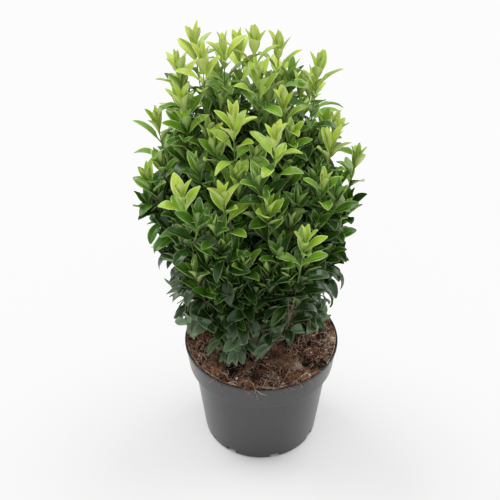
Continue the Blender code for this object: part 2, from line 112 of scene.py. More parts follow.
# The trunk and boughs, by the rule and sizes of the solids.
TRUNK_FOOT = Vector((-4, 0, 0)) * MM
TRUNK_HEIGHT = 27 * MM
TRUNK_RADIUS = 10 * MM
TRUNK_TAPER = 0.9
TRUNK_LEAN = Vector((-1.5, 1.0, 0)) * MM
FLARE_RADIUS = 14 * MM
FLARE_HEIGHT = 9 * MM
FLARE_LOBES = 5
FLARE_LOBE_DEPTH = 0.12
BOUGH_FOOT_RADIUS = 2.3 * MM
BOUGH_TIP_RADIUS = 1.8 * MM
BOUGH_STEPS = 16
BOUGH_RISE = 0.4
SIDE_ELBOW = 18 * MM
HEAD_ELBOW = 9 * MM
HEAD_REACH = 0.135
SIDE_TIERS = ((0.135, 0.2, 0.76), (0.2, 0.3, 0.48))
SIDE_SPACING = math.radians(28)
HEAD_SPACING = math.radians(46)
SPACING_ROUNDS = 20
HEAD_RING = 6.8 * MM
NECK = 4 * MM

# The crown: every mass keeps to its cone of space, inside one outline of height and reach, in millimetres.
FAN_POINT = Vector((0, 0, -94)) * MM
MASS_FOOT_LEVEL = 198 * MM
CROWN_MIDDLE = Vector((-15, 0)) * MM
CROWN_OUTLINE = (
    (140, 90), (185, 102), (262, 108), (317, 117), (344, 125),
    (370, 134), (406, 132), (441, 118), (545, 86),
)
OUTLINE_SLACK = 5 * MM
NEIGHBOUR_OVERLAP = 9 * MM

# How far leaves and twigs keep off the box and the soil, and how they keep higher near the rim and the front.
BOX_CLEARANCE = 0.5 * MM
SOIL_CLEARANCE = 4.5 * MM
RIM_MARGIN = 20 * MM
RIM_SLOPE = 1.8
FRONT_MARGIN = 22 * MM
FRONT_SLOPE = 0.72

# The tips of the shoots that each mass carries, as in the solids: east, north and height, in millimetres.
SHOOT_TIPS = {
    "left_back": ((-70, 35, 501), (-40, 20, 500)),
    "left_inner": ((-85, 10, 485), (-80, -15, 460), (-60, 0, 495)),
    "back_inner": ((-25, 45, 490), (-10, 70, 455)),
    "centre": ((-10, 15, 507), (-5, -10, 482)),
    "right_inner": ((55, 20, 480), (20, 0, 450)),
    "right_back": ((15, 40, 492), (40, 50, 446)),
    "front_inner": ((-30, -45, 455), (-50, -35, 420)),
    "left": ((-110, 10, 425), (-120, -20, 375)),
    "left_front": ((-80, -85, 395), (-70, -90, 305)),
    "front": ((-40, -80, 390), (-20, -95, 320)),
    "centre_front": ((10, -55, 440), (5, -80, 375)),
    "right_front": ((40, -100, 350), (25, -90, 300)),
    "right": ((70, -10, 410), (60, -50, 385)),
    "far_right": ((101, 20, 375), (82, -24, 335)),
    "far_left_back": ((-90, 50, 430), (-60, 80, 430)),
    "far_right_back": ((55, 75, 440), (78, 52, 398)),
    "back": ((20, 85, 445), (-35, 95, 420)),
}
TIP_LIFT = Vector((0, 0, 4)) * MM
SHOOT_FOOT_RADIUS = 1.5 * MM
SHOOT_TIP_RADIUS = 0.6 * MM

# Each kind of twig: its reach in millimetres, its radius, how far past its space its tip may lie,
# the room that its leaves need to the crown's outline, and its age.
SIDE_TWIG = ((34, 62), 1.0 * MM, -2 * MM, 19 * MM, (0.05, 0.45))
SKIRT_TWIG = ((24, 38), 1.0 * MM, 2 * MM, 12 * MM, (0.4, 0.8))
LOW_TWIG = ((16, 28), 0.9 * MM, 4 * MM, 0, (0.5, 0.8))

# Where side twigs leave a shoot, and low twigs a bough, as shares of its length.
SIDE_TWIG_PLACES = (0.04, 0.12, 0.2, 0.3, 0.4, 0.5, 0.6, 0.7)
LOW_TWIG_PLACES = (0.5, 0.7, 0.9)

# Each skirt twig's turn from its mass's own direction, and its rise for one of reach.
SKIRT_TWIG_AIMS = (
    (-0.9, 0.25), (-0.45, -0.1), (0.0, 0.3), (0.0, -0.55), (0.45, -0.3),
    (0.9, 0.15), (-0.7, -0.6), (0.3, -0.8), (0.8, -0.7), (1.3, -0.45),
)

# Leaf tints from the youngest and best lit to the oldest and most shaded, then the dull low ones, made
# lighter with painted fill light and sheen:
# the blade's colour, its roughness, and how pale its margin and underside are. A leaf past each step of
# ageing and painted shade takes the next tint.
TINTS = {
    "lime": ("#c8e14e", 0.28, 0.78),
    "yellow_green": ("#a2c836", 0.26, 0.72),
    "fresh": ("#72a428", 0.25, 0.6),
    "green": ("#417214", 0.25, 0.28),
    "deep": ("#264a12", 0.24, 0.14),
    "dark": ("#213f17", 0.26, 0.08),
    "dull_painted_light": ("#5b7553", 0.4, 0.1),
}
TINT_AGE_AND_SHADE_STEPS = (0.14, 0.32, 0.54, 0.84, 1.16)
DARK = list(TINTS).index("dark")
DULL_PAINTED_LIGHT = list(TINTS).index("dull_painted_light")
MOST_LEAVES_IN_PIECE = 1200

# What darkens a leaf's tint: its years, by the stem above it, and painted shade below a level, deep in the
# crown and in a shaded hollow.
AGEING_STEM = 125 * MM
SHADE_LEVEL = 200 * MM
SHADE_HEIGHT = 215 * MM
SHADE_AGE = 0.85
LIT_DEPTH = 35 * MM
SHADING_DEPTH = 60 * MM
SHADED_HOLLOW = Vector((0, -85, 250)) * MM
HOLLOW_RADIUS = 75 * MM
HOLLOW_SHADE = 0.32

# The broad hanging leaves of low twigs, and the level below which half of the other leaves are dull: a
# lighter grey-green, partly their own and partly painted fill light and sheen.
LOW_LEAF_LEVEL = 208 * MM
LOW_LEAF_SIZE = 1.12
LOW_LEAF_SLIMNESS = 0.95
LOW_LEAF_DROOP = 0.12
LOW_PAINTED_LIGHT_SHARE = 0.72
PAINTED_LIGHT_LEVEL = 222 * MM

# How leaves stand out and arch: degrees at the tip, further degrees, and the stem that most of it takes.
LEAF_SPREAD = (8, 46, 30 * MM)
LEAF_ARCH = (8, 88, 46 * MM)

# Share of full size, and of full width for it, of the young pairs of leaves from a tip, then of grown ones.
LEAF_GROWTH = ((0.72, 0.76), (0.8, 0.9), (0.92, 1.0), (1.0, 1.0))
YOUNG_PAIRS = len(LEAF_GROWTH) - 1

# The stem between pairs of leaves near a tip and how it grows, and the bare stem at a shoot's two ends.
FIRST_GAP = 4 * MM
GAP_GROWTH = 1.45
BARE_TIP = 1 * MM
BARE_FOOT = 7 * MM

# How far leaves keep off other stems, and off the middles of the leaves made last.
STEM_CLEARANCE = 2.2 * MM
LEAF_CLEARANCE = 6.5 * MM
LAST_LEAVES = 400

# A leaf's skin: its rings, the face that each side of a ring shows, and how far out its pale margin begins.
LEAF_RINGS = 9
LEAF_SLOTS = (3, 0, 1, 0, 3, 2, 2)
UNDERSIDE = 2
MARGIN_START = 0.84
STALK_SHARE = 0.1
STALK_HALF_WIDTH = 0.55 * MM
RIB_HALF_WIDTH = 0.5 * MM

# Stems: the trunk's grooves, then the green wood below a tip, the least brown wood, and the shaded level.
TRUNK_GROOVE = 0.35 * MM
GREEN_WOOD = 95 * MM
LEAST_BROWN = 0.35
SHADED_WOOD_LEVEL = 340 * MM

# The camera that the photograph was taken with.
CAMERA_PLACE = (-14 * MM, -731 * MM, 807 * MM)
CAMERA_TILT = math.radians(54)
CAMERA_LENS = 56.66


def linear(hex_colour):
    """The linear colour of an sRGB hex value."""
    channels = [int(hex_colour[i : i + 2], 16) / 255 for i in (1, 3, 5)]
    return [c / 12.92 if c <= 0.04045 else ((c + 0.055) / 1.055) ** 2.4 for c in channels] + [1]


def blended(first, second, share):
    """A linear colour part of the way from one to another."""
    return [a + (b - a) * share for a, b in zip(first, second)]


def heading(turn):
    """The level unit vector at an angle."""
    return Vector((math.cos(turn), math.sin(turn), 0))


def add_node(tree, kind, inputs=(), **settings):
    """Adds a node with its settings; an input is a value, an output, or a node for its first output."""
    node = tree.nodes.new(kind)
    for name, value in settings.items():
        setattr(node, name, value)
    for name, value in dict(inputs).items():
        if isinstance(value, bpy.types.Node):
            value = value.outputs[0]
        if isinstance(value, bpy.types.NodeSocket):
            tree.links.new(value, node.inputs[name])
        else:
            node.inputs[name].default_value = value
    return node


def new_material(name, **shader_values):
    """A material with uniform values on its shader's own sockets; returns it, its tree and its shader."""
    made = bpy.data.materials.new(name)
    made.use_nodes = True
    shader = made.node_tree.nodes["Principled BSDF"]
    for socket, value in shader_values.items():
        shader.inputs[socket.replace("_", " ")].default_value = value
    return made, made.node_tree, shader


def mottled(name, dark, light, patch, span, grain, depth, strength=1.0, **shader_values):
    """A material mottled between two linear colours, with fine relief of a depth in metres.

    Patch and grain are clouds on Object coordinates, each of a size in metres, a detail and a roughness,
    and span is the part of the patches' range that goes from dark to light.
    Returns the material, its tree, its shader, and the outputs of its coordinates and its colour.
    """
    made, tree, shader = new_material(name, **shader_values)
    place = add_node(tree, "ShaderNodeTexCoord").outputs["Object"]
    clouds = []
    for size, detail, roughness in (patch, grain):
        values = {"Vector": place, "Scale": 1 / size, "Detail": detail, "Roughness": roughness}
        clouds.append(add_node(tree, "ShaderNodeTexNoise", values))
    values = {"Value": clouds[0], "From Min": span[0], "From Max": span[1]}
    share = add_node(tree, "ShaderNodeMapRange", values)
    colour = add_node(tree, "ShaderNodeMix", {0: share, 6: dark, 7: light}, data_type="RGBA").outputs[2]
    relief = add_node(tree, "ShaderNodeBump", {"Height": clouds[1], "Distance": depth, "Strength": strength})
    tree.links.new(relief.outputs["Normal"], shader.inputs["Normal"])
    tree.links.new(colour, shader.inputs["Base Color"])
    return made, tree, shader, place, colour


def polypropylene_material(settings):
    """Recycled grey polypropylene, injection moulded: matt, faintly mottled and dusty.

    Its moulded grain is drawn at 0.9 mm, coarser than life, so that it shows.
    """
    wall = [*settings.wall, 1]
    look = ((45 * MM, 4.0, 0.5), (0, 1), (0.9 * MM, 2.0, 0.5), 0.05 * MM, 0.5)
    made, tree, shader, place, colour = mottled(
        "moulded polypropylene", blended(wall, BLACK, 0.12), wall, *look, IOR=1.48
    )
    values = {"Vector": place, "Scale": 1 / (7 * MM), "Detail": 6.0, "Roughness": 0.7}
    film = {"Value": add_node(tree, "ShaderNodeTexNoise", values), "From Min": 0.55, "From Max": 0.8}
    dust = add_node(tree, "ShaderNodeMapRange", {**film, "To Max": 0.16})
    matt = add_node(tree, "ShaderNodeMapRange", {**film, "To Min": 0.32, "To Max": 0.52})
    values = {0: dust, 6: colour, 7: [*settings.dust, 1]}
    dusty = add_node(tree, "ShaderNodeMix", values, data_type="RGBA")
    tree.links.new(dusty.outputs[2], shader.inputs["Base Color"])
    tree.links.new(matt.outputs["Result"], shader.inputs["Roughness"])
    return made


def peat_material(name, light, dark, size, hollows=False):
    """Peat and coir: no gloss, lighter crumbs among dark ones, and on the bed painted shade that takes it
    almost to black in its hollows.
    """
    look = ((size, 5.0, 0.65), (0.35, 0.65), (size / 3, 3.0, 0.5), 0.5 * MM)
    made, tree, shader, place, colour = mottled(
        name, linear(dark), linear(light), *look, Roughness=0.95, IOR=1.4
    )
    if hollows:
        # Painted shade: the bed goes to its dark peat colour in the low hollows.
        level = add_node(tree, "ShaderNodeSeparateXYZ", {"Vector": place}).outputs["Z"]
        values = {"Value": level, "From Min": SOIL_LEVEL - 0.4 * MM, "From Max": SOIL_LEVEL + 2.8 * MM}
        values = {0: add_node(tree, "ShaderNodeMapRange", values), 6: linear(dark), 7: colour}
        shaded = add_node(tree, "ShaderNodeMix", values, data_type="RGBA")
        tree.links.new(shaded.outputs[2], shader.inputs["Base Color"])
    return made


def bark_material(name, light, dark, depth):
    """Spindle bark in lighter and darker patches: corky brown low down, smooth and green when young."""
    look = ((3 * MM, 5.0, 0.7), (0.35, 0.65), (0.8 * MM, 3.0, 0.5), depth)
    return mottled(name, linear(dark), linear(light), *look, Roughness=0.7, IOR=1.45)[0]


def tint_materials(tint):
    """One tint's four leaf faces: a waxy satin cuticle, softly mottled, with very shallow veins."""
    hex_colour, rough, paleness = TINTS[tint]
    blade, pale, below = linear(hex_colour), linear("#dbe6a0"), linear("#b3bd84")
    faces = (
        ("spindle leaf", pale, 0, rough, 0.25, 0.2),
        ("leaf midrib", pale, paleness / 2, rough + 0.06, 0.08, 0.1),
        ("leaf underside", below, 0.1 + 0.6 * paleness, 0.5, 0.12, 0),
        # The pale margin is partly the leaf's own and partly a painted highlight where its edge catches the
        # light.
        ("leaf margin", pale, paleness, rough, 0.08, 0.1),
    )
    look = ((9 * MM, 3.0, 0.5), (0.3, 0.7), (2.2 * MM, 2.0, 0.5), 0.12 * MM, 0.6)
    made = []
    for face, other, share, roughness, uneven, coat in faces:
        colour = blended(blade, other, share)
        values = {"Roughness": roughness, "IOR": 1.38, "Coat_Weight": coat, "Coat_Roughness": 0.16}
        made.append(mottled(f"{tint} {face}", blended(colour, BLACK, uneven), colour, *look, **values)[0])
    return made


def placed(name, data):
    """A new object of the scene, at the origin."""
    made = bpy.data.objects.new(name, data)
    bpy.context.scene.collection.objects.link(made)
    return made


def shaped(name, shape):
    """An object from a bmesh, which is then freed."""
    mesh = bpy.data.meshes.new(name)
    shape.to_mesh(mesh)
    shape.free()
    return placed(name, mesh)


def make_mesh(name, points, faces, materials, slots=None):
    """An object from points and groups of faces, each group an array of one number of corners."""
    mesh = bpy.data.meshes.new(name)
    groups = [np.asarray(group, np.int32) for group in faces]
    sizes = np.concatenate([np.full(len(group), group.shape[1], np.int32) for group in groups])
    mesh.vertices.add(len(points))
    mesh.vertices.foreach_set("co", np.asarray(points, np.float32).ravel())
    mesh.loops.add(int(sizes.sum()))
    mesh.loops.foreach_set("vertex_index", np.concatenate([group.ravel() for group in groups]))
    mesh.polygons.add(len(sizes))
    mesh.polygons.foreach_set("loop_start", np.cumsum(sizes, dtype=np.int32) - sizes)
    mesh.polygons.foreach_set("use_smooth", np.ones(len(sizes), bool))
    for material in materials:
        mesh.materials.append(material)
    if slots is not None:
        mesh.polygons.foreach_set("material_index", np.asarray(slots, np.int32))
    mesh.update(calc_edges=True)
    return placed(name, mesh)


def applied(piece):
    """Turns a piece with modifiers into its plain evaluated mesh."""
    bpy.context.view_layer.update()
    evaluated = piece.evaluated_get(bpy.context.evaluated_depsgraph_get())
    mesh = bpy.data.meshes.new_from_object(evaluated)
    piece.modifiers.clear()
    piece.data = mesh
    return piece


def settled(piece, nodes):
    """Ties a finished piece to the body and hides the solids that it stands for."""
    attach(piece, "root")
    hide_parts(*nodes)


def add_piece(name, skins, material, nodes):
    """A finished piece of one material from closed skins."""
    settled(make_mesh(name, *joined(skins), [material]), nodes)


def solids(kind):
    """The names of the solids of every bough, or of all the foliage."""
    return [f"{kind}_{name}" for name in SHOOT_TIPS]


def lofted(rings):
    """Points, quads and end faces of a closed skin over rings of points that turn anticlockwise along it."""
    rows, sides = np.shape(rings)[:2]
    at = np.arange(sides)
    after = (at + 1) % sides
    low = np.arange(rows - 1)[:, None] * sides
    high = low + sides
    quads = np.stack([low + at, low + after, high + after, high + at], -1).reshape(-1, 4)
    return np.reshape(rings, (-1, 3)), quads, np.array([at[::-1], at + (rows - 1) * sides])


def joined(skins):
    """Many lofted skins as one set of points and groups of faces."""
    points, *groups = zip(*skins)
    starts = np.cumsum([0] + [len(part) for part in points])
    faces = [np.vstack([part + start for part, start in zip(group, starts)]) for group in groups]
    return np.vstack(points), faces


def tube(path, radii, sides):
    """A closed round tube along a path."""
    path = np.asarray(path, float)
    run = np.gradient(path, axis=0)
    run /= np.linalg.norm(run, axis=1)[:, None]
    side = np.cross(run[0], (0.31, 0.95, 0.1))
    turns = np.arange(sides) * math.tau / sides
    rings = []
    for centre, tangent, radius in zip(path, run, radii):
        side = side - tangent * (side @ tangent)
        side /= np.linalg.norm(side)
        other = np.cross(tangent, side)
        rings.append(centre + radius * (np.cos(turns)[:, None] * side + np.sin(turns)[:, None] * other))
    return lofted(rings)


def spokes(sides):
    """Level unit vectors all round."""
    return [heading(turn) for turn in np.arange(sides) * math.tau / sides]


def soil_height(x, y):
    """The soil's surface, as in the solids."""
    away = (Vector((x, y, 0)) - TRUNK_FOOT).length
    calm = min(1, max(0, (away - SOIL_FLAT + TRUNK_FOOT.x) / (12 * MM)))
    lump = noise.noise(Vector((x, y, 0)) / SOIL_LUMP)
    lump += 0.5 * noise.noise(Vector((y, x, SOIL_LUMP)) / SOIL_LUMP * 2)
    return SOIL_LEVEL + SOIL_UNEVEN * calm * lump


def trunk_radius(height):
    """The trunk's mean radius at a height over the soil."""
    taper = TRUNK_RADIUS * (1 - (1 - TRUNK_TAPER) * height / TRUNK_HEIGHT)
    flare = max(0, 1 - height / FLARE_HEIGHT) ** 2
    return taper + (FLARE_RADIUS - TRUNK_RADIUS) * flare


def trunk_centre(height):
    """The trunk's middle at a height over the soil."""
    return TRUNK_FOOT + TRUNK_LEAN * (height / TRUNK_HEIGHT) + Vector((0, 0, SOIL_LEVEL + GAP + height))


def crown_reach(height):
    """How far the crown reaches from its middle, by height."""
    heights, reaches = np.array(CROWN_OUTLINE).T * MM
    return np.interp(height, heights, reaches)


def bezier(start, handle, end, t):
    """A point of a quadratic curve."""
    return start * (1 - t) ** 2 + handle * (2 * t * (1 - t)) + end * t**2


def across(tangent, turn):
    """A unit vector square to the tangent, at an angle round it."""
    side = tangent.cross(Vector((0, 1, 0)))
    side.normalize()
    return Matrix.Rotation(turn, 3, tangent) @ side


def opened(below, least, further, stem):
    """An angle that opens with the distance below the tip, most of it within a length of stem."""
    return math.radians(least + further * (1 - math.exp(-below / stem)))


class Mass:
    """One mass of foliage: its shoots' tips, its own direction, its cone of space and its bough."""

    def __init__(self, tips):
        self.tips = [Vector(tip) * MM + TIP_LIFT for tip in tips]
        slopes = [(tip - FAN_POINT).xy / (tip - FAN_POINT).z for tip in self.tips]
        self.centre = sum(slopes, Vector((0, 0))) / len(slopes)
        self.home = math.atan2(self.centre.y, self.centre.x)
        self.foot = FAN_POINT + Vector((*self.centre, 1)) * (MASS_FOOT_LEVEL - FAN_POINT.z)
        self.outer = self.centre.length > HEAD_REACH
        self.walls = None
        self.bough = []

    def set_walls(self, masses):
        """The planes between this mass's space and each other one."""
        rows = []
        for other in masses:
            if other is not self:
                away = 2 * (other.centre - self.centre)
                rows.append((*away, self.centre.length_squared - other.centre.length_squared))
        self.walls = np.array(rows) / np.linalg.norm(rows, axis=1)[:, None]

    def overreach(self, points):
        """How far the worst of some points lies past the nearest wall of this mass's space."""
        return ((points - np.array(FAN_POINT)) @ self.walls.T).max()


def bough_path(start, aim, elbow, foot):
    """A bough's points: a short straight start along its aim, then one curve to the mass's foot."""
    knee = start + aim.normalized() * NECK
    handle = knee + aim * elbow
    return [start] + [bezier(knee, handle, foot, i / BOUGH_STEPS) for i in range(BOUGH_STEPS + 1)]


def spaced_turns(group, least):
    """Each mass's own direction round the trunk, with close neighbours pushed apart to the least angle."""
    turns = [mass.home for mass in group]
    for _ in range(SPACING_ROUNDS):
        for i in range(len(turns)):
            j = (i + 1) % len(turns)
            push = max(0, least - (turns[j] - turns[i]) % math.tau) / 2
            turns[i] -= push
            turns[j] += push
    return turns


def route_boughs(masses):
    """Gives each mass its bough, by the rule of the solids."""
    by_turn = sorted(masses, key=lambda mass: mass.home)
    middle = min(masses, key=lambda mass: mass.centre.length)
    head = trunk_centre(TRUNK_HEIGHT) + Vector((0, 0, GAP))
    middle.bough = bough_path(head, UP, HEAD_ELBOW, middle.foot)
    ring = [mass for mass in by_turn if mass is not middle and mass.centre.length < HEAD_REACH]
    for mass, turn in zip(ring, spaced_turns(ring, HEAD_SPACING)):
        mass.bough = bough_path(head + heading(turn) * HEAD_RING, UP, HEAD_ELBOW, mass.foot)
    for nearest, furthest, share in SIDE_TIERS:
        tier = [mass for mass in by_turn if nearest <= mass.centre.length < furthest]
        height = TRUNK_HEIGHT * share
        away = trunk_radius(height) + GAP + BOUGH_FOOT_RADIUS * BOUGH_RISE
        for mass, turn in zip(tier, spaced_turns(tier, SIDE_SPACING)):
            out = heading(turn)
            start = trunk_centre(height) + out * away
            mass.bough = bough_path(start, out + UP * BOUGH_RISE, SIDE_ELBOW, mass.foot)


class Shoot:
    """One leafy stem: its path, its radii, how old it looks and whether it hangs low."""

    def __init__(self, mass, curve, foot_radius, darkness, low=False):
        self.mass = mass
        self.darkness = darkness
        self.low = low
        steps = max(8, int((curve[2] - curve[0]).length / (9 * MM)))
        self.path = [bezier(*curve, i / steps) for i in range(steps + 1)]
        self.radii = np.linspace(foot_radius, SHOOT_TIP_RADIUS, steps + 1)
        runs = [(b - a).length for a, b in zip(self.path, self.path[1:])]
        self.lengths = np.concatenate([[0], np.cumsum(runs)])

    def at(self, reach):
        """The point and direction of the stem at a length along it."""
        run = min(len(self.path) - 2, max(0, int(np.searchsorted(self.lengths, reach) - 1)))
        tangent = (self.path[run + 1] - self.path[run]).normalized()
        return self.path[run] + tangent * (reach - self.lengths[run]), tangent


class Plant:
    """The plant above the soil, grown once by the seeded rule of the solids and carried to finer twigs."""

    def __init__(self, settings):
        self.settings = settings
        self.draw = random.Random(SEED)
        self.masses = [Mass(tips) for tips in SHOOT_TIPS.values()]
        route_boughs(self.masses)
        for mass in self.masses:
            mass.set_walls(self.masses)
        self.shoots = []
        for mass in self.masses:
            self.grow_shoots(mass)
        self.mark_stems()
        self.leaves = []
        self.middles = []
        for index, shoot in enumerate(self.shoots):
            self.add_leaves(index, shoot)

    def inside(self, mass, points, slack):
        """Whether points keep to the box, the crown and the mass's space, and off soil, rim and front."""
        low, high = np.array(CAD_LOW) + BOX_CLEARANCE, np.array(CAD_HIGH) - BOX_CLEARANCE
        if (points < low).any() or (points > high).any():
            return False
        east, north, height = points.T
        if (np.hypot(east - CROWN_MIDDLE.x, north) > crown_reach(height) + OUTLINE_SLACK).any():
            return False
        over_rim = RIM_SLOPE * (np.hypot(east, north) - RIM_RADIUS + RIM_MARGIN)
        over_front = FRONT_SLOPE * (0.7 * east - north - FRONT_MARGIN)
        over_soil = np.maximum(0, np.maximum(over_rim, over_front))
        if (height < SOIL_LEVEL + SOIL_CLEARANCE + over_soil).any():
            return False
        return mass.overreach(points) < slack

    def grow_shoots(self, mass):
        """The mass's stem and main shoots, then the finer twigs from them."""
        rise = (mass.foot - mass.bough[-2]).normalized()
        neck = mass.foot + rise * (GAP + NECK)
        stem = None
        for tip in mass.tips:
            start = neck if stem is None else bezier(*stem, self.draw.uniform(0.16, 0.26))
            handle = Vector((*start.xy.lerp(tip.xy, 0.62), start.z + (tip.z - start.z) * 0.45))
            curve = (start, handle, tip)
            shoot = Shoot(mass, curve, SHOOT_FOOT_RADIUS, self.draw.uniform(-0.12, 0.12))
            if stem is None:
                shoot.path.insert(0, mass.foot + rise * GAP)
                shoot.radii = np.concatenate([[SHOOT_FOOT_RADIUS], shoot.radii])
                shoot.lengths = np.concatenate([[0], shoot.lengths + NECK])
            self.shoots.append(shoot)
            self.add_side_twigs(mass, curve)
            stem = stem or curve
        self.add_skirt(mass, stem)
        self.add_low_twigs(mass)

    def add_twig(self, mass, kind, root, elbow, tip):
        """Adds a twig if its tip keeps to its space and has room for leaves, and returns whether it does."""
        _, radius, slack, room, ages = kind
        fits = self.inside(mass, np.array([tip]), slack)
        fits = fits and (tip.xy - CROWN_MIDDLE).length < crown_reach(tip.z) + OUTLINE_SLACK - room
        if fits:
            darkness = self.draw.uniform(*ages)
            self.shoots.append(Shoot(mass, (root, elbow, tip), radius, darkness, low=kind is not SIDE_TWIG))
        return fits

    def add_side_twigs(self, mass, stem):
        """Twigs that leave a shoot all round and turn up beside it, each tried in a few directions."""
        for t in SIDE_TWIG_PLACES:
            root = bezier(*stem, t + self.draw.uniform(-0.04, 0.04))
            tangent = (bezier(*stem, t + 0.06) - bezier(*stem, t)).normalized()
            turn = self.draw.uniform(0, math.tau)
            for attempt in range(8):
                out = across(tangent, turn + attempt * math.tau / 8)
                reach = self.draw.uniform(*SIDE_TWIG[0]) * MM
                elbow = root + out * reach * 0.4 + UP * 0.3 * reach
                if self.add_twig(mass, SIDE_TWIG, root, elbow, root + (out * 0.5 + UP * 0.86) * reach):
                    break

    def add_skirt(self, mass, stem):
        """Low twigs that lean out over the rim or droop to the soil, half as many on an inner mass."""
        for swing, lift in SKIRT_TWIG_AIMS if mass.outer else SKIRT_TWIG_AIMS[1::2]:
            out = heading(mass.home + swing + self.draw.uniform(-0.15, 0.15))
            root = bezier(*stem, self.draw.uniform(0.0, 0.1))
            reach = self.draw.uniform(*SKIRT_TWIG[0]) * MM
            elbow = root + (out * 0.5 + UP * (lift * 0.5 + 0.2)) * reach
            self.add_twig(mass, SKIRT_TWIG, root, elbow, root + (out + UP * lift) * reach)

    def add_low_twigs(self, mass):
        """Short twigs from an outer mass's bough itself, whose broad leaves hang over the soil."""
        for share in LOW_TWIG_PLACES if mass.outer else ():
            root = mass.bough[int(share * (len(mass.bough) - 1))]
            out = heading(mass.home + self.draw.uniform(-0.8, 0.8))
            reach = self.draw.uniform(*LOW_TWIG[0]) * MM
            tip = root + (out + UP * self.draw.uniform(-0.2, 0.35)) * reach
            self.add_twig(mass, LOW_TWIG, root, root + (out * 0.5 + UP * 0.25) * reach, tip)

    def mark_stems(self):
        """A tree of every stem's and bough's points, and the shoot that each belongs to."""
        marks = [(point, index) for index, shoot in enumerate(self.shoots) for point in shoot.path]
        marks += [(point, -1) for mass in self.masses for point in mass.bough]
        self.owners = [owner for _, owner in marks]
        self.stems = kdtree.KDTree(len(marks))
        for i, (point, _) in enumerate(marks):
            self.stems.insert(point, i)
        self.stems.balance()

    def add_leaves(self, index, shoot):
        """Opposite pairs down a shoot, each a quarter turn on, opening and ageing down the stem."""
        total = shoot.lengths[-1]
        turn = self.draw.uniform(0, math.tau)
        below, gap = BARE_TIP, FIRST_GAP * (1 + shoot.low)
        order = 0
        while below < total - BARE_FOOT:
            root, tangent = shoot.at(total - below)
            for half in (0, math.pi):
                self.add_leaf(index, root, tangent, turn + half, below, order)
            turn += math.pi / 2 + self.draw.uniform(-0.2, 0.2)
            below += gap * self.draw.uniform(0.9, 1.12)
            gap = min(self.settings.internode, gap * GAP_GROWTH)
            order += 1

    def leaf_age_and_shade(self, shoot, root, below):
        """How dark a leaf's tint goes: older down the shoot, and painted shade low down, deep in the crown
        and in the shaded hollow.
        """
        light = min(1, max(0, (root.z - SHADE_LEVEL) / SHADE_HEIGHT))
        deep = crown_reach(root.z) - (root.xy - CROWN_MIDDLE).length
        darkness = below / AGEING_STEM + (1 - light) * SHADE_AGE + shoot.darkness + self.draw.uniform(-0.11, 0.11)
        # Painted shade: deeper in the crown, and in the shaded hollow, the tint goes darker.
        darkness += max(0, deep - LIT_DEPTH) / SHADING_DEPTH * (0.3 if below > 50 * MM else 0.1)
        return darkness + HOLLOW_SHADE * max(0, 1 - (root - SHADED_HOLLOW).length / HOLLOW_RADIUS)

    def add_leaf(self, index, root, tangent, turn, below, order):
        """One leaf, tried in a few stances before it is given up."""
        draw, shoot = self.draw, self.shoots[index]
        size, slender = LEAF_GROWTH[min(order, YOUNG_PAIRS)]
        size *= draw.uniform(0.86, 1.08)
        spread = opened(below, *LEAF_SPREAD) + draw.uniform(-0.15, 0.15)
        arch = opened(below, *LEAF_ARCH) * draw.uniform(0.6, 1.4)
        # The tint steps darker with the leaf's years and with painted shade.
        darkness = self.leaf_age_and_shade(shoot, root, below)
        tint = sum(darkness > limit for limit in TINT_AGE_AND_SHADE_STEPS)
        # Low leaves go dull: partly their own duller green, partly painted fill light and sheen.
        if shoot.low and root.z < LOW_LEAF_LEVEL:
            tint = DULL_PAINTED_LIGHT if draw.random() < LOW_PAINTED_LIGHT_SHARE else DARK
            size *= LOW_LEAF_SIZE
            slender *= LOW_LEAF_SLIMNESS
        elif root.z < PAINTED_LIGHT_LEVEL and (index + order) % 2:
            tint = DULL_PAINTED_LIGHT
        for squeeze in (1.0, 0.8, 0.62, 0.45):
            out = across(tangent, turn + draw.uniform(-0.12, 0.12))
            angle = spread * squeeze
            along = tangent * math.cos(angle) + out * math.sin(angle) - UP * (LOW_LEAF_DROOP * shoot.low)
            along.normalize()
            up = tangent * math.sin(angle) - out * math.cos(angle)
            up = up.lerp(UP, (0.8 - 0.35 * shoot.low) * max(0, 1 - tangent.z))
            up = (up - along * up.dot(along)).normalized()
            width = self.settings.leaf_width * size * slender * draw.uniform(0.88, 1.1)
            fold = draw.uniform(29, 50) if order < YOUNG_PAIRS else draw.uniform(22, 46) - 12 * shoot.low
            leaf = {
                "root": root,
                "along": along,
                "up": up,
                "side": up.cross(along),
                "length": self.settings.leaf_length * size * (0.7 + 0.3 * squeeze),
                "width": width,
                "arch": arch,
                "fold": math.radians(fold),
                "twist": draw.uniform(-0.35, 0.35),
                "wave": draw.uniform(0.04, 0.15),
                "phase": draw.uniform(0, math.tau),
                "tint": tint,
            }
            line = leaf_line(leaf)
            if self.inside(shoot.mass, line, NEIGHBOUR_OVERLAP) and self.clear(line, index, order):
                self.leaves.append(leaf)
                self.middles.append(line[3])
                return

    def clear(self, line, index, order):
        """Whether a leaf's line is off every other stem and not laid on another leaf."""
        for point in line[2:]:
            _, mark, away = self.stems.find(point)
            if away < STEM_CLEARANCE and self.owners[mark] != index:
                return False
        if order < YOUNG_PAIRS or not self.middles:
            return True
        gaps = np.linalg.norm(np.array(self.middles[-LAST_LEAVES:]) - line[3], axis=1)
        return gaps.min() > LEAF_CLEARANCE


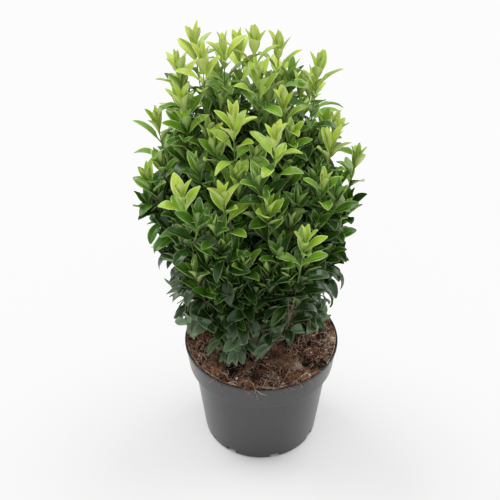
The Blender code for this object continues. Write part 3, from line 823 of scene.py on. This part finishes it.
def leaf_line(leaf):
    """A few points down the middle of a leaf, in the order root to tip, then two at its widest."""
    shares = np.array([0.05, 0.2, 0.4, 0.6, 0.8, 1.0])
    bend = leaf["arch"] * shares
    step = np.diff(shares, prepend=0) * leaf["length"]
    ahead = np.cumsum(np.cos(bend) * step)[:, None] * np.array(leaf["along"])
    line = np.array(leaf["root"]) + ahead - np.cumsum(np.sin(bend) * step)[:, None] * np.array(leaf["up"])
    edge = np.array(leaf["side"]) * leaf["width"] * 0.5
    return np.vstack([line, line[3] + edge, line[3] - edge])


def leaf_outline(share):
    """The blade's half width, as a share: a wedge at the foot, widest past the middle, blunt at the tip."""
    blade = np.clip((share - STALK_SHARE) / (1 - STALK_SHARE), 0, 1)
    return np.sin(math.pi * blade**1.14) ** (1.0 - 0.36 * blade)


def leaf_shapes(leaves, thickness):
    """Points, faces and slots of many leaves: folded, arched closed blades with a rib and a pale margin."""
    column = {key: np.array([leaf[key] for leaf in leaves], float) for key in leaves[0]}
    even = np.linspace(0, 1, LEAF_RINGS)
    fine = 1 - (1 - even) ** 1.35
    bend = column["arch"][:, None] * fine**1.15
    step = np.diff(fine, prepend=0) * column["length"][:, None]
    ahead = np.cumsum(np.cos(bend) * step, 1)
    drop = -np.cumsum(np.sin(bend) * step, 1)
    along, up, side = (column[key][:, None] for key in ("along", "up", "side"))
    centre = column["root"][:, None] + ahead[..., None] * along + drop[..., None] * up
    normal = np.sin(bend)[..., None] * along + np.cos(bend)[..., None] * up
    turn = (column["twist"][:, None] * fine)[..., None]
    sideways = (np.cos(turn) * side + np.sin(turn) * normal)[:, :, None]
    upwards = (np.cos(turn) * normal - np.sin(turn) * side)[:, :, None]
    least = STALK_HALF_WIDTH * (1 + 0.9 * fine)
    half = np.maximum(leaf_outline(fine) * column["width"][:, None] / 2, least)
    rib = np.minimum(half, RIB_HALF_WIDTH * (1 - 0.5 * fine))
    reach = np.stack([half, half * MARGIN_START, rib], -1)
    share = reach / half[..., None]
    tilt = column["fold"][:, None, None] * (1.1 - 0.45 * share**2)
    out = (reach * np.cos(tilt))[..., None] * sideways
    rise = (reach * np.sin(tilt))[..., None] * upwards
    ripple = np.sin(math.tau * 1.6 * fine + column["phase"][:, None]) * column["wave"][:, None] * half
    wave = (ripple[..., None] * share**2)[..., None] * upwards
    middle = centre[:, :, None]
    keel = middle - (thickness * (1 + 1.6 * (1 - fine) ** 2))[None, :, None, None] * upwards
    left, right = middle + out + rise + wave, middle - out + rise - wave
    rings = np.concatenate([left, right[:, :, ::-1], keel], 2)
    slots = [*LEAF_SLOTS * (LEAF_RINGS - 1) * len(leaves), *(UNDERSIDE,) * 2 * len(leaves)]
    return *joined([lofted(leaf) for leaf in rings]), slots


@functools.lru_cache(maxsize=1)
def plant():
    """The plant, grown once."""
    return Plant(bpy.context.scene.spindle_leaves)


class PotSettings(bpy.types.PropertyGroup):
    """Sizes and colours of the pot."""

    wall: FloatVectorProperty(
        name="Wall colour", description="Grey of the moulding", subtype="COLOR", default=linear("#2c2d2f")[:3]
    )
    dust: FloatVectorProperty(
        name="Dust colour", description="Dry peat on the wall", subtype="COLOR", default=linear("#7d756b")[:3]
    )
    sides: IntProperty(name="Sides", description="Faces round the pot", default=144, min=48, max=256)


class SoilSettings(bpy.types.PropertyGroup):
    """What lies on the soil."""

    crumbs: IntProperty(name="Crumbs", description="Crumbs of dark peat on the bed", default=3200, min=0)
    fibres: IntProperty(name="Fibres", description="Loose strands of coir", default=1700, min=0)
    tufts: IntProperty(name="Tufts", description="Tangled tufts of coir", default=36, min=0)
    hanging: IntProperty(name="Hanging fibres", description="Strands over the rim", default=22, min=0)
    fibre_radius: FloatProperty(
        name="Fibre radius", description="Radius of a strand", default=0.28 * MM, unit="LENGTH"
    )


class LeafSettings(bpy.types.PropertyGroup):
    """Sizes of the leaves."""

    leaf_length: FloatProperty(
        name="Length", description="A grown leaf's length", default=36 * MM, unit="LENGTH"
    )
    leaf_width: FloatProperty(
        name="Width", description="A grown leaf's width", default=14.5 * MM, unit="LENGTH"
    )
    thickness: FloatProperty(name="Thickness", description="Blade thickness", default=0.4 * MM, unit="LENGTH")
    internode: FloatProperty(
        name="Internode", description="Stem between two pairs of leaves", default=12 * MM, unit="LENGTH"
    )


class StageSettings(bpy.types.PropertyGroup):
    """The floor and the light."""

    floor: FloatVectorProperty(
        name="Floor colour", description="Plain pale floor", subtype="COLOR", default=linear("#f4f4f4")[:3]
    )
    sky: FloatProperty(name="Fill light", description="Strength of the even light all round", default=0.85)
    lamp: FloatProperty(name="Top light", description="Strength of the soft lights overhead", default=2.44)


def arc(x, z, radius, start, end, count=5):
    """Points of a rounding in a section, between two angles in degrees."""
    angles = np.radians(np.linspace(start, end, count))
    return [(x + radius * math.cos(a), z + radius * math.sin(a)) for a in angles]


def pot_section():
    """The pot's section, from the middle of its floor over the lip to the middle of its underside."""
    lip, collar, step = LIP_ROUNDING, COLLAR_ROUNDING, STEP_ROUNDING
    return [
        (0, POT_FLOOR),
        (BASE_RADIUS - POT_WALL, POT_FLOOR),
        (WALL_TOP_RADIUS - POT_WALL, STEP_HEIGHT - POT_WALL),
        (COLLAR_FOOT_RADIUS - POT_WALL, STEP_HEIGHT + POT_WALL),
        (RIM_RADIUS - POT_WALL, POT_HEIGHT - lip),
        *arc(RIM_RADIUS - POT_WALL + lip, POT_HEIGHT - lip, lip, 165, 15),
        (RIM_RADIUS, POT_HEIGHT - collar),
        (RIM_RADIUS - 0.1 * MM, POT_HEIGHT - LIP_HEIGHT),
        *arc(RIM_RADIUS - collar, POT_HEIGHT - LIP_HEIGHT - 0.9 * MM, 0.35 * MM, 60, 180, 4)[::-1],
        *arc(COLLAR_FOOT_RADIUS - collar, STEP_HEIGHT + collar, collar, 0, -90),
        (WALL_TOP_RADIUS + collar, STEP_HEIGHT - 0.2 * MM),
        *arc(WALL_TOP_RADIUS + step, STEP_HEIGHT - POT_WALL, step, 105, 180),
        *arc(BASE_RADIUS - BASE_ROUNDING, BASE_ROUNDING, BASE_ROUNDING, 0, -90, 6),
        (BASE_RADIUS - 9 * MM, 0),
        (BASE_RADIUS - 10 * MM, 0),
        (0, 0),
    ]


class SPINDLE_OT_pot(bpy.types.Operator):
    """Makes the nursery pot: a thin turned shell with a collar, a rolled lip and slots at the foot"""

    bl_idname = "spindle.pot"
    bl_label = "Pot"

    def execute(self, context):
        settings = context.scene.spindle_pot
        shape = bmesh.new()
        verts = [shape.verts.new((x, 0, z)) for x, z in pot_section()]
        line = verts + [shape.edges.new(pair) for pair in zip(verts, verts[1:])]
        bmesh.ops.spin(shape, geom=line, axis=UP, cent=(0, 0, 0), angle=math.tau, steps=settings.sides)
        bmesh.ops.remove_doubles(shape, verts=shape.verts, dist=0.01 * MM)
        bmesh.ops.recalc_face_normals(shape, faces=shape.faces)
        pot = shaped("pot_shell", shape)
        cutter = self.slot_cutter()
        cut = pot.modifiers.new("Drain slots", "BOOLEAN")
        cut.operation = "DIFFERENCE"
        cut.object = cutter
        applied(pot)
        bpy.data.objects.remove(cutter)
        pot.data.shade_smooth()
        pot.data.set_sharp_from_angle(angle=math.radians(38))
        pot.data.materials.clear()
        pot.data.materials.append(polypropylene_material(settings))
        settled(pot, ["pot"])
        return {"FINISHED"}

    def slot_cutter(self):
        """The blocks that cut the drain slots, as one mesh."""
        blocks = bmesh.new()
        for index in range(DRAIN_SLOTS):
            turn = DRAIN_SLOT_TURN + index * math.tau / DRAIN_SLOTS
            place = Matrix.Translation(heading(turn) * (BASE_RADIUS - DRAIN_SLOT_INSET))
            place = place @ Matrix.Rotation(turn, 4, "Z") @ Matrix.Diagonal((*DRAIN_SLOT_SIZE, 1))
            bmesh.ops.create_cube(blocks, size=1, matrix=place)
        return shaped("slot_cutter", blocks)


def wall_inside(height):
    """The pot's inner radius at a height in its collar."""
    widening = (RIM_RADIUS - COLLAR_FOOT_RADIUS) * (height - STEP_HEIGHT) / COLLAR_HEIGHT
    return COLLAR_FOOT_RADIUS - POT_WALL + widening


def bed_height(x, y):
    """The soil's finer surface: the solid's lumps with clods, crumbly relief and a bank against the wall."""
    spot = Vector((x, y, 20 * MM))
    clods = noise.fractal(spot / CLOD_SIZE, 0.6, 2.2, 2) * CLOD_HEIGHT
    fine = noise.fractal(spot.yxz / CRUMB_SIZE, 0.7, 2.1, 3) * CRUMB_HEIGHT
    bank = max(0, spot.xy.length / wall_inside(SOIL_LEVEL) - BANK_START) * BANK_RISE
    away = (spot.xy - TRUNK_FOOT.xy).length
    calm = min(1, max(0.1, (away - FLARE_RADIUS) / (10 * MM)))
    return min(BED_TOP, soil_height(x, y) + (clods + fine + bank) * calm)


def bed_rings(furthest, nearest, count):
    """Rings of points on the bed, from the wall inwards."""
    around = spokes(BED_SPOKES)
    reaches = np.linspace(furthest, nearest, count)
    return [[(*(out.xy * reach), bed_height(*(out.xy * reach))) for out in around] for reach in reaches]


class SPINDLE_OT_soil(bpy.types.Operator):
    """Makes the bed of peat and coir that fills the pot"""

    bl_idname = "spindle.soil"
    bl_label = "Soil"

    def execute(self, context):
        foot = STEP_HEIGHT + 3 * MM
        rings = [[(*(out.xy * (wall_inside(foot) - 0.8 * MM)), foot) for out in spokes(BED_SPOKES)]]
        rings += bed_rings(wall_inside(SOIL_LEVEL + 3.5 * MM) - 0.15 * MM, 1.5 * MM, 62)
        peat = peat_material("moist peat and coir", "#634a3d", "#0b0706", 4 * MM, hollows=True)
        add_piece("soil_bed", [lofted(rings)], peat, ["potting_soil"])
        return {"FINISHED"}


def grain_tree():
    """Geometry Nodes that scatter rough grains of many sizes over a surface, thicker on its mounds."""
    tree = bpy.data.node_groups.new("Scattered grains", "GeometryNodeTree")
    sizes = dict.fromkeys(("Density", "Smallest", "Largest", "Flatness"), "Float")
    for name, kind in {"Geometry": "Geometry", **sizes, "Seed": "Int", "Material": "Material"}.items():
        tree.interface.new_socket(name, in_out="INPUT", socket_type="NodeSocket" + kind)
    tree.interface.new_socket("Geometry", in_out="OUTPUT", socket_type="NodeSocketGeometry")
    given = add_node(tree, "NodeGroupInput").outputs
    place = add_node(tree, "ShaderNodeSeparateXYZ", {0: add_node(tree, "GeometryNodeInputPosition")})
    values = {"Value": place.outputs["Z"], "From Min": SOIL_LEVEL - 0.5 * MM, "From Max": SOIL_LEVEL + 2 * MM}
    mound = add_node(tree, "ShaderNodeMapRange", {**values, "To Min": 0.2, "To Max": 1.4})
    thick = add_node(tree, "ShaderNodeMath", {0: given["Density"], 1: mound}, operation="MULTIPLY")
    values = {"Mesh": given["Geometry"], "Density": thick, "Seed": given["Seed"]}
    spots = add_node(tree, "GeometryNodeDistributePointsOnFaces", values)
    grain = add_node(tree, "GeometryNodeMeshIcoSphere", {"Radius": 1.0, "Subdivisions": 1})
    values = {1: (math.tau,) * 3, "Seed": given["Seed"]}
    turn = add_node(tree, "FunctionNodeRandomValue", values, data_type="FLOAT_VECTOR")
    values = {2: given["Smallest"], 3: given["Largest"], "Seed": given["Seed"]}
    size = add_node(tree, "FunctionNodeRandomValue", values).outputs[1]
    flat = add_node(tree, "ShaderNodeCombineXYZ", {"X": 1.0, "Y": 0.7, "Z": given["Flatness"]})
    scale = add_node(tree, "ShaderNodeVectorMath", {0: flat, 3: size}, operation="SCALE")
    values = {"Points": spots, "Instance": grain, "Rotation": turn, "Scale": scale}
    dots = add_node(tree, "GeometryNodeInstanceOnPoints", values)
    real = add_node(tree, "GeometryNodeRealizeInstances", {"Geometry": dots})
    bumps = add_node(tree, "ShaderNodeTexNoise", {"Scale": 900.0, "Detail": 1.0}).outputs["Color"]
    middle = add_node(tree, "ShaderNodeVectorMath", {0: bumps, 1: (0.5, 0.5, 0.5)}, operation="SUBTRACT")
    push = add_node(tree, "ShaderNodeVectorMath", {0: middle, 3: 1.8 * MM}, operation="SCALE")
    rough = add_node(tree, "GeometryNodeSetPosition", {"Geometry": real, "Offset": push})
    painted = add_node(tree, "GeometryNodeSetMaterial", {"Geometry": rough, "Material": given["Material"]})
    add_node(tree, "NodeGroupOutput", {"Geometry": painted})
    return tree


def scattered(name, patch, tree, values):
    """The grains of one kind, scattered over a patch of the bed, as a plain mesh."""
    piece = placed(name, patch)
    scatter = piece.modifiers.new("Grains", "NODES")
    scatter.node_group = tree
    names = {item.name: item.identifier for item in tree.interface.items_tree if item.in_out == "INPUT"}
    for key, value in values.items():
        scatter[names[key]] = value
    return applied(piece)


def bed_patch():
    """The open soil's surface between wall and trunk, for scattering."""
    points, quads, _ = lofted(bed_rings(wall_inside(SOIL_LEVEL) - 1.2 * MM, FLARE_RADIUS + 6 * MM, 40))
    patch = make_mesh("bed_patch", points, [quads], [])
    mesh = patch.data
    bpy.data.objects.remove(patch)
    return mesh


# Each kind of grain: how many for one dark crumb, its sizes in millimetres, its flatness and its peat.
GRAINS = {
    "dark_crumbs": (1.1, 0.8, 2.2, 0.7, "dark peat crumb", "#3c2b23", "#0f0a09"),
    "brown_crumbs": (0.7, 0.7, 1.9, 0.6, "brown peat crumb", "#a87d66", "#442f25"),
    "tan_crumbs": (0.5, 0.6, 1.7, 0.5, "tan coir pith", "#f8e2cc", "#b39480"),
    "husk_chips": (0.2, 1.4, 4.0, 0.3, "coir husk chip", "#b47a5c", "#3b271f"),
    "perlite_grains": (0.04, 1.0, 2.5, 0.9, "expanded perlite", "#ffffff", "#f2ede4"),
}

# Each kind of strand: its share of them all, and its coir.
STRANDS = {
    "coir_brown": (0.4, "brown coir strand", "#c09a80", "#644a3c"),
    "coir_orange": (0.22, "orange coir strand", "#b9805a", "#6a4633"),
    "coir_dark": (0.2, "dark root strand", "#3a2a20", "#120d0a"),
    "coir_tan": (0.22, "pale coir strand", "#f2dfc8", "#ae937a"),
}


class SPINDLE_OT_litter(bpy.types.Operator):
    """Strews crumbs of peat, strands of coir and a few white grains over the soil"""

    bl_idname = "spindle.litter"
    bl_label = "Soil litter"

    def execute(self, context):
        settings = context.scene.spindle_soil
        patch = bed_patch()
        area = math.pi * wall_inside(SOIL_LEVEL) ** 2
        tree = grain_tree()
        for seed, (name, (share, smallest, largest, flatness, *peat)) in enumerate(GRAINS.items()):
            values = {
                "Density": settings.crumbs * share / area,
                "Smallest": smallest * MM,
                "Largest": largest * MM,
                "Flatness": flatness,
                "Seed": seed + 3,
                "Material": peat_material(*peat, 2 * MM),
            }
            settled(scattered(name, patch, tree, values), ["potting_soil"])
        draw = random.Random(SEED)
        for name, (share, *coir) in STRANDS.items():
            strands = self.strands(draw, settings, share)
            add_piece(name, strands, peat_material(*coir, 3 * MM), ["potting_soil"])
        return {"FINISHED"}

    def strands(self, draw, settings, share):
        """Loose strands over the whole bed, tangled tufts of them, and some that hang over the rim."""
        radius, brim = settings.fibre_radius, wall_inside(SOIL_LEVEL) - 0.8 * MM
        made = []
        for _ in range(int(settings.fibres * share)):
            spot = self.spot(draw, brim)
            made.append(self.strand(draw, radius, spot, brim, draw.uniform(1.6, 3.4) * MM))
        for _ in range(int(settings.tufts * share)):
            middle = self.spot(draw, brim)
            size = draw.uniform(4, 8.5) * MM
            for _ in range(34):
                spot = middle + Vector((draw.gauss(0, 0.5), draw.gauss(0, 0.5))) * size
                stride = draw.uniform(1.0, 2.0) * MM
                made.append(self.strand(draw, radius * 0.9, spot, brim, stride, (middle, size)))
        return made + [self.hanging(draw, radius) for _ in range(int(settings.hanging * share))]

    def spot(self, draw, brim):
        """Somewhere on the bed, seldom in its hollows."""
        for _ in range(4):
            reach = brim * math.sqrt(draw.uniform(0.06, 1))
            turn = draw.uniform(0, math.tau)
            spot = Vector((reach * math.cos(turn), reach * math.sin(turn)))
            if bed_height(*spot) > SOIL_LEVEL + 0.6 * MM:
                break
        return spot

    def strand(self, draw, radius, spot, brim, stride, tuft=None):
        """One strand: a wandering path just over the bed, or over and through its tuft."""
        course = draw.uniform(0, math.tau)
        curl = draw.uniform(-0.3, 0.3) if tuft is None else draw.uniform(-0.6, 0.6)
        steps = draw.randint(6, 11)
        lift = draw.uniform(0.2, 1.0) * MM
        arch = draw.uniform(0, 3.0) * MM
        mound = draw.uniform(0.3, 0.85)
        bark = TRUNK_RADIUS + 3 * MM
        path = []
        for i in range(steps + 1):
            if spot.length > brim:
                spot = spot.normalized() * brim
            if (spot - TRUNK_FOOT.xy).length < bark:
                spot = TRUNK_FOOT.xy + (spot - TRUNK_FOOT.xy).normalized() * bark
            height = bed_height(*spot) + lift + arch * math.sin(math.pi * i / steps)
            if tuft:
                middle, size = tuft
                height += mound * size * max(0, 1 - (spot - middle).length_squared / size**2)
            path.append((*spot, height))
            course += curl + draw.uniform(-0.45, 0.45)
            spot = spot + heading(course).xy * stride
        return self.drawn(draw, path, radius)

    def hanging(self, draw, radius):
        """A strand from the bed over the rim and down outside it, most of them at the front."""
        turn = math.radians(draw.gauss(-85, 38))
        slant = draw.uniform(-0.03, 0.03)
        over = RIM_RADIUS + draw.uniform(0.9, 2.2) * MM
        drop = draw.uniform(1, 12) * MM
        rise = POT_HEIGHT + draw.uniform(0.5, 1.6) * MM
        outline = [(-11, -2.5), (-6, 0.0), (-1.5, 0.6), (0, 0.0), (1.2, -1.6)]
        outline += [(1.6 + 0.5 * share, -1.6 - share * drop / MM) for share in (0.35, 0.7, 1.0)]
        path = []
        for i, (out, up) in enumerate(outline):
            angle = turn + slant * i
            reach = over + out * MM
            path.append((reach * math.cos(angle), reach * math.sin(angle), rise + up * MM))
        return self.drawn(draw, path, radius * 0.7)

    def drawn(self, draw, path, radius):
        """A strand's path as a tube that thins to both ends."""
        thick = radius * draw.uniform(0.6, 1.5)
        shares = [(i + 0.5) / len(path) for i in range(len(path))]
        return tube(path, [thick * (0.55 + 0.45 * math.sin(math.pi * share)) for share in shares], 4)


class SPINDLE_OT_limbs(bpy.types.Operator):
    """Makes the short trunk and its boughs with their bark's relief"""

    bl_idname = "spindle.limbs"
    bl_label = "Trunk and boughs"

    def execute(self, context):
        bark = bark_material("corky spindle bark", "#7d6a52", "#3d3021", 0.3 * MM)
        add_piece("trunk_bark", [lofted(self.trunk_rings(40, spokes(60)))], bark, ["trunk"])
        limbs = []
        for mass in plant().masses:
            radii = np.linspace(BOUGH_FOOT_RADIUS, BOUGH_TIP_RADIUS, len(mass.bough))
            swollen = [r * (1 + 0.05 * noise.noise(p / (3 * MM))) for r, p in zip(radii, mass.bough)]
            limbs.append(tube(mass.bough, swollen, 12))
        add_piece("bough_bark", limbs, bark, solids("bough"))
        return {"FINISHED"}

    def trunk_rings(self, rows, around):
        """The trunk's grooved skin, with a lobed flare at its foot and a low dome, just inside the solid."""
        rings = []
        for row in range(rows + 1):
            height = TRUNK_HEIGHT * row / rows
            flare = max(0, 1 - height / FLARE_HEIGHT)
            dome = 1 if row < rows - 2 else 0.93 - 0.13 * (row - rows + 2)
            ring = []
            for out in around:
                lobed = 1 + FLARE_LOBE_DEPTH * flare * math.cos(FLARE_LOBES * math.atan2(out.y, out.x))
                groove = noise.fractal(Vector((*(out.xy * 7), height / (9 * MM))), 0.8, 2, 3) * TRUNK_GROOVE
                reach = trunk_radius(height) * lobed * dome * 0.985 + groove
                ring.append(trunk_centre(height) + out * reach)
            rings.append(ring)
        return rings


class SPINDLE_OT_shoots(bpy.types.Operator):
    """Grows the stems of every shoot and twig, brown below and green above, duller in the shade"""

    bl_idname = "spindle.shoots"
    bl_label = "Shoots"

    def execute(self, context):
        old, young, shaded = [], [], []
        for shoot in plant().shoots:
            total, last = shoot.lengths[-1], len(shoot.path) - 2
            ripe = int(np.searchsorted(shoot.lengths, max(total * LEAST_BROWN, total - GREEN_WOOD)))
            split = last if shoot.low else min(last, max(1, ripe))
            old.append(tube(shoot.path[: split + 1], shoot.radii[: split + 1], 6))
            fresh = young if shoot.path[-1].z > SHADED_WOOD_LEVEL else shaded
            fresh.append(tube(shoot.path[split:], shoot.radii[split:], 6))
        kinds = (
            ("shoots_brown", old, "ripened spindle shoot", "#5f5a3c", "#2e2c1c", 0.12 * MM),
            ("shoots_green", young, "green spindle shoot", "#7a953f", "#486628", 0.06 * MM),
            ("shoots_shaded", shaded, "shaded spindle shoot", "#506431", "#33431f", 0.06 * MM),
        )
        for name, stems, *bark in kinds:
            add_piece(name, stems, bark_material(*bark), solids("foliage"))
        return {"FINISHED"}


class SPINDLE_OT_leaves(bpy.types.Operator):
    """Grows the leaves, each tint its own piece"""

    bl_idname = "spindle.leaves"
    bl_label = "Leaves"

    def execute(self, context):
        settings = context.scene.spindle_leaves
        for index, tint in enumerate(TINTS):
            chosen = [leaf for leaf in plant().leaves if leaf["tint"] == index]
            materials = tint_materials(tint)
            for part, start in enumerate(range(0, len(chosen), MOST_LEAVES_IN_PIECE)):
                group = chosen[start : start + MOST_LEAVES_IN_PIECE]
                points, faces, slots = leaf_shapes(group, settings.thickness)
                piece = make_mesh(f"leaves_{tint}_{part + 1}", points, faces, materials, slots)
                settled(piece, solids("foliage"))
        return {"FINISHED"}


class SPINDLE_OT_stage(bpy.types.Operator):
    """Sets the pale floor, the soft light and the camera"""

    bl_idname = "spindle.stage"
    bl_label = "Stage"

    def execute(self, context):
        scene, settings = context.scene, context.scene.spindle_stage
        paper = new_material("white studio paper", Roughness=0.9, Base_Color=[*settings.floor, 1])[0]
        corners = [(-6, -6, 0), (6, -6, 0), (6, 6, 0), (-6, 6, 0)]
        floor = make_mesh("floor", corners, [[(0, 1, 2, 3)]], [paper])
        scene.world = bpy.data.worlds.new("even studio light")
        scene.world.use_nodes = True
        sky = scene.world.node_tree.nodes["Background"].inputs
        sky["Color"].default_value = linear("#fcfbfb")
        sky["Strength"].default_value = settings.sky
        for name, tilt, swing, share in (("left_light", -16, -31, 0.54), ("right_light", -13, 27, 0.46)):
            lamp = bpy.data.lights.new(name, "SUN")
            lamp.energy = settings.lamp * share
            lamp.angle = math.radians(38)
            placed(name, lamp).rotation_euler = (math.radians(tilt), math.radians(swing), 0)
        scene.camera = placed("camera", bpy.data.cameras.new("camera"))
        scene.camera.data.lens = CAMERA_LENS
        scene.camera.location = CAMERA_PLACE
        scene.camera.rotation_euler = (CAMERA_TILT, 0, 0)
        self.develop(scene.view_settings)
        return {"FINISHED"}

    def develop(self, view):
        """Rolls the brightest tones off softly, so that the lit floor stays just under white."""
        view.view_transform = "Standard"
        view.use_curve_mapping = True
        tones = view.curve_mapping
        tones.white_level = (1.3, 1.3, 1.3)
        for light, shown in ((0.42, 0.546), (0.6, 0.74), (0.77, 0.88)):
            tones.curves[3].points.new(light, shown)
        tones.curves[3].points[-1].location = (1, 0.97)
        tones.update()


# The steps in their order: the name of a group of settings on the scene, its class, and what reads it.
STEPS = (
    ("spindle_pot", PotSettings, (SPINDLE_OT_pot,)),
    ("spindle_soil", SoilSettings, (SPINDLE_OT_soil, SPINDLE_OT_litter)),
    ("spindle_leaves", LeafSettings, (SPINDLE_OT_limbs, SPINDLE_OT_shoots, SPINDLE_OT_leaves)),
    ("spindle_stage", StageSettings, (SPINDLE_OT_stage,)),
)


class SPINDLE_PT_panel(bpy.types.Panel):
    """Lists the steps in the sidebar"""

    bl_idname = "SPINDLE_PT_panel"
    bl_label = "Potted spindle"
    bl_space_type = "VIEW_3D"
    bl_region_type = "UI"
    bl_category = "Spindle"

    def draw(self, context):
        for group, kind, operators in STEPS:
            box = self.layout.box()
            for name in kind.__annotations__:
                box.prop(getattr(context.scene, group), name)
            for operator in operators:
                box.operator(operator.bl_idname)


CLASSES = [kind for _, group, operators in STEPS for kind in (group, *operators)] + [SPINDLE_PT_panel]


def register():
    """Registers the classes and hangs each group of settings on the scene."""
    for kind in CLASSES:
        bpy.utils.register_class(kind)
    for name, kind, _ in STEPS:
        setattr(bpy.types.Scene, name, PointerProperty(type=kind))


def unregister():
    """Takes back what register made."""
    for name, _, _ in STEPS:
        delattr(bpy.types.Scene, name)
    for kind in reversed(CLASSES):
        bpy.utils.unregister_class(kind)


def main():
    """Builds every piece and the stage."""
    register()
    for _, _, operators in STEPS:
        for operator in operators:
            getattr(bpy.ops.spindle, operator.bl_idname.removeprefix("spindle."))()


if __name__ == "__main__":
    main()
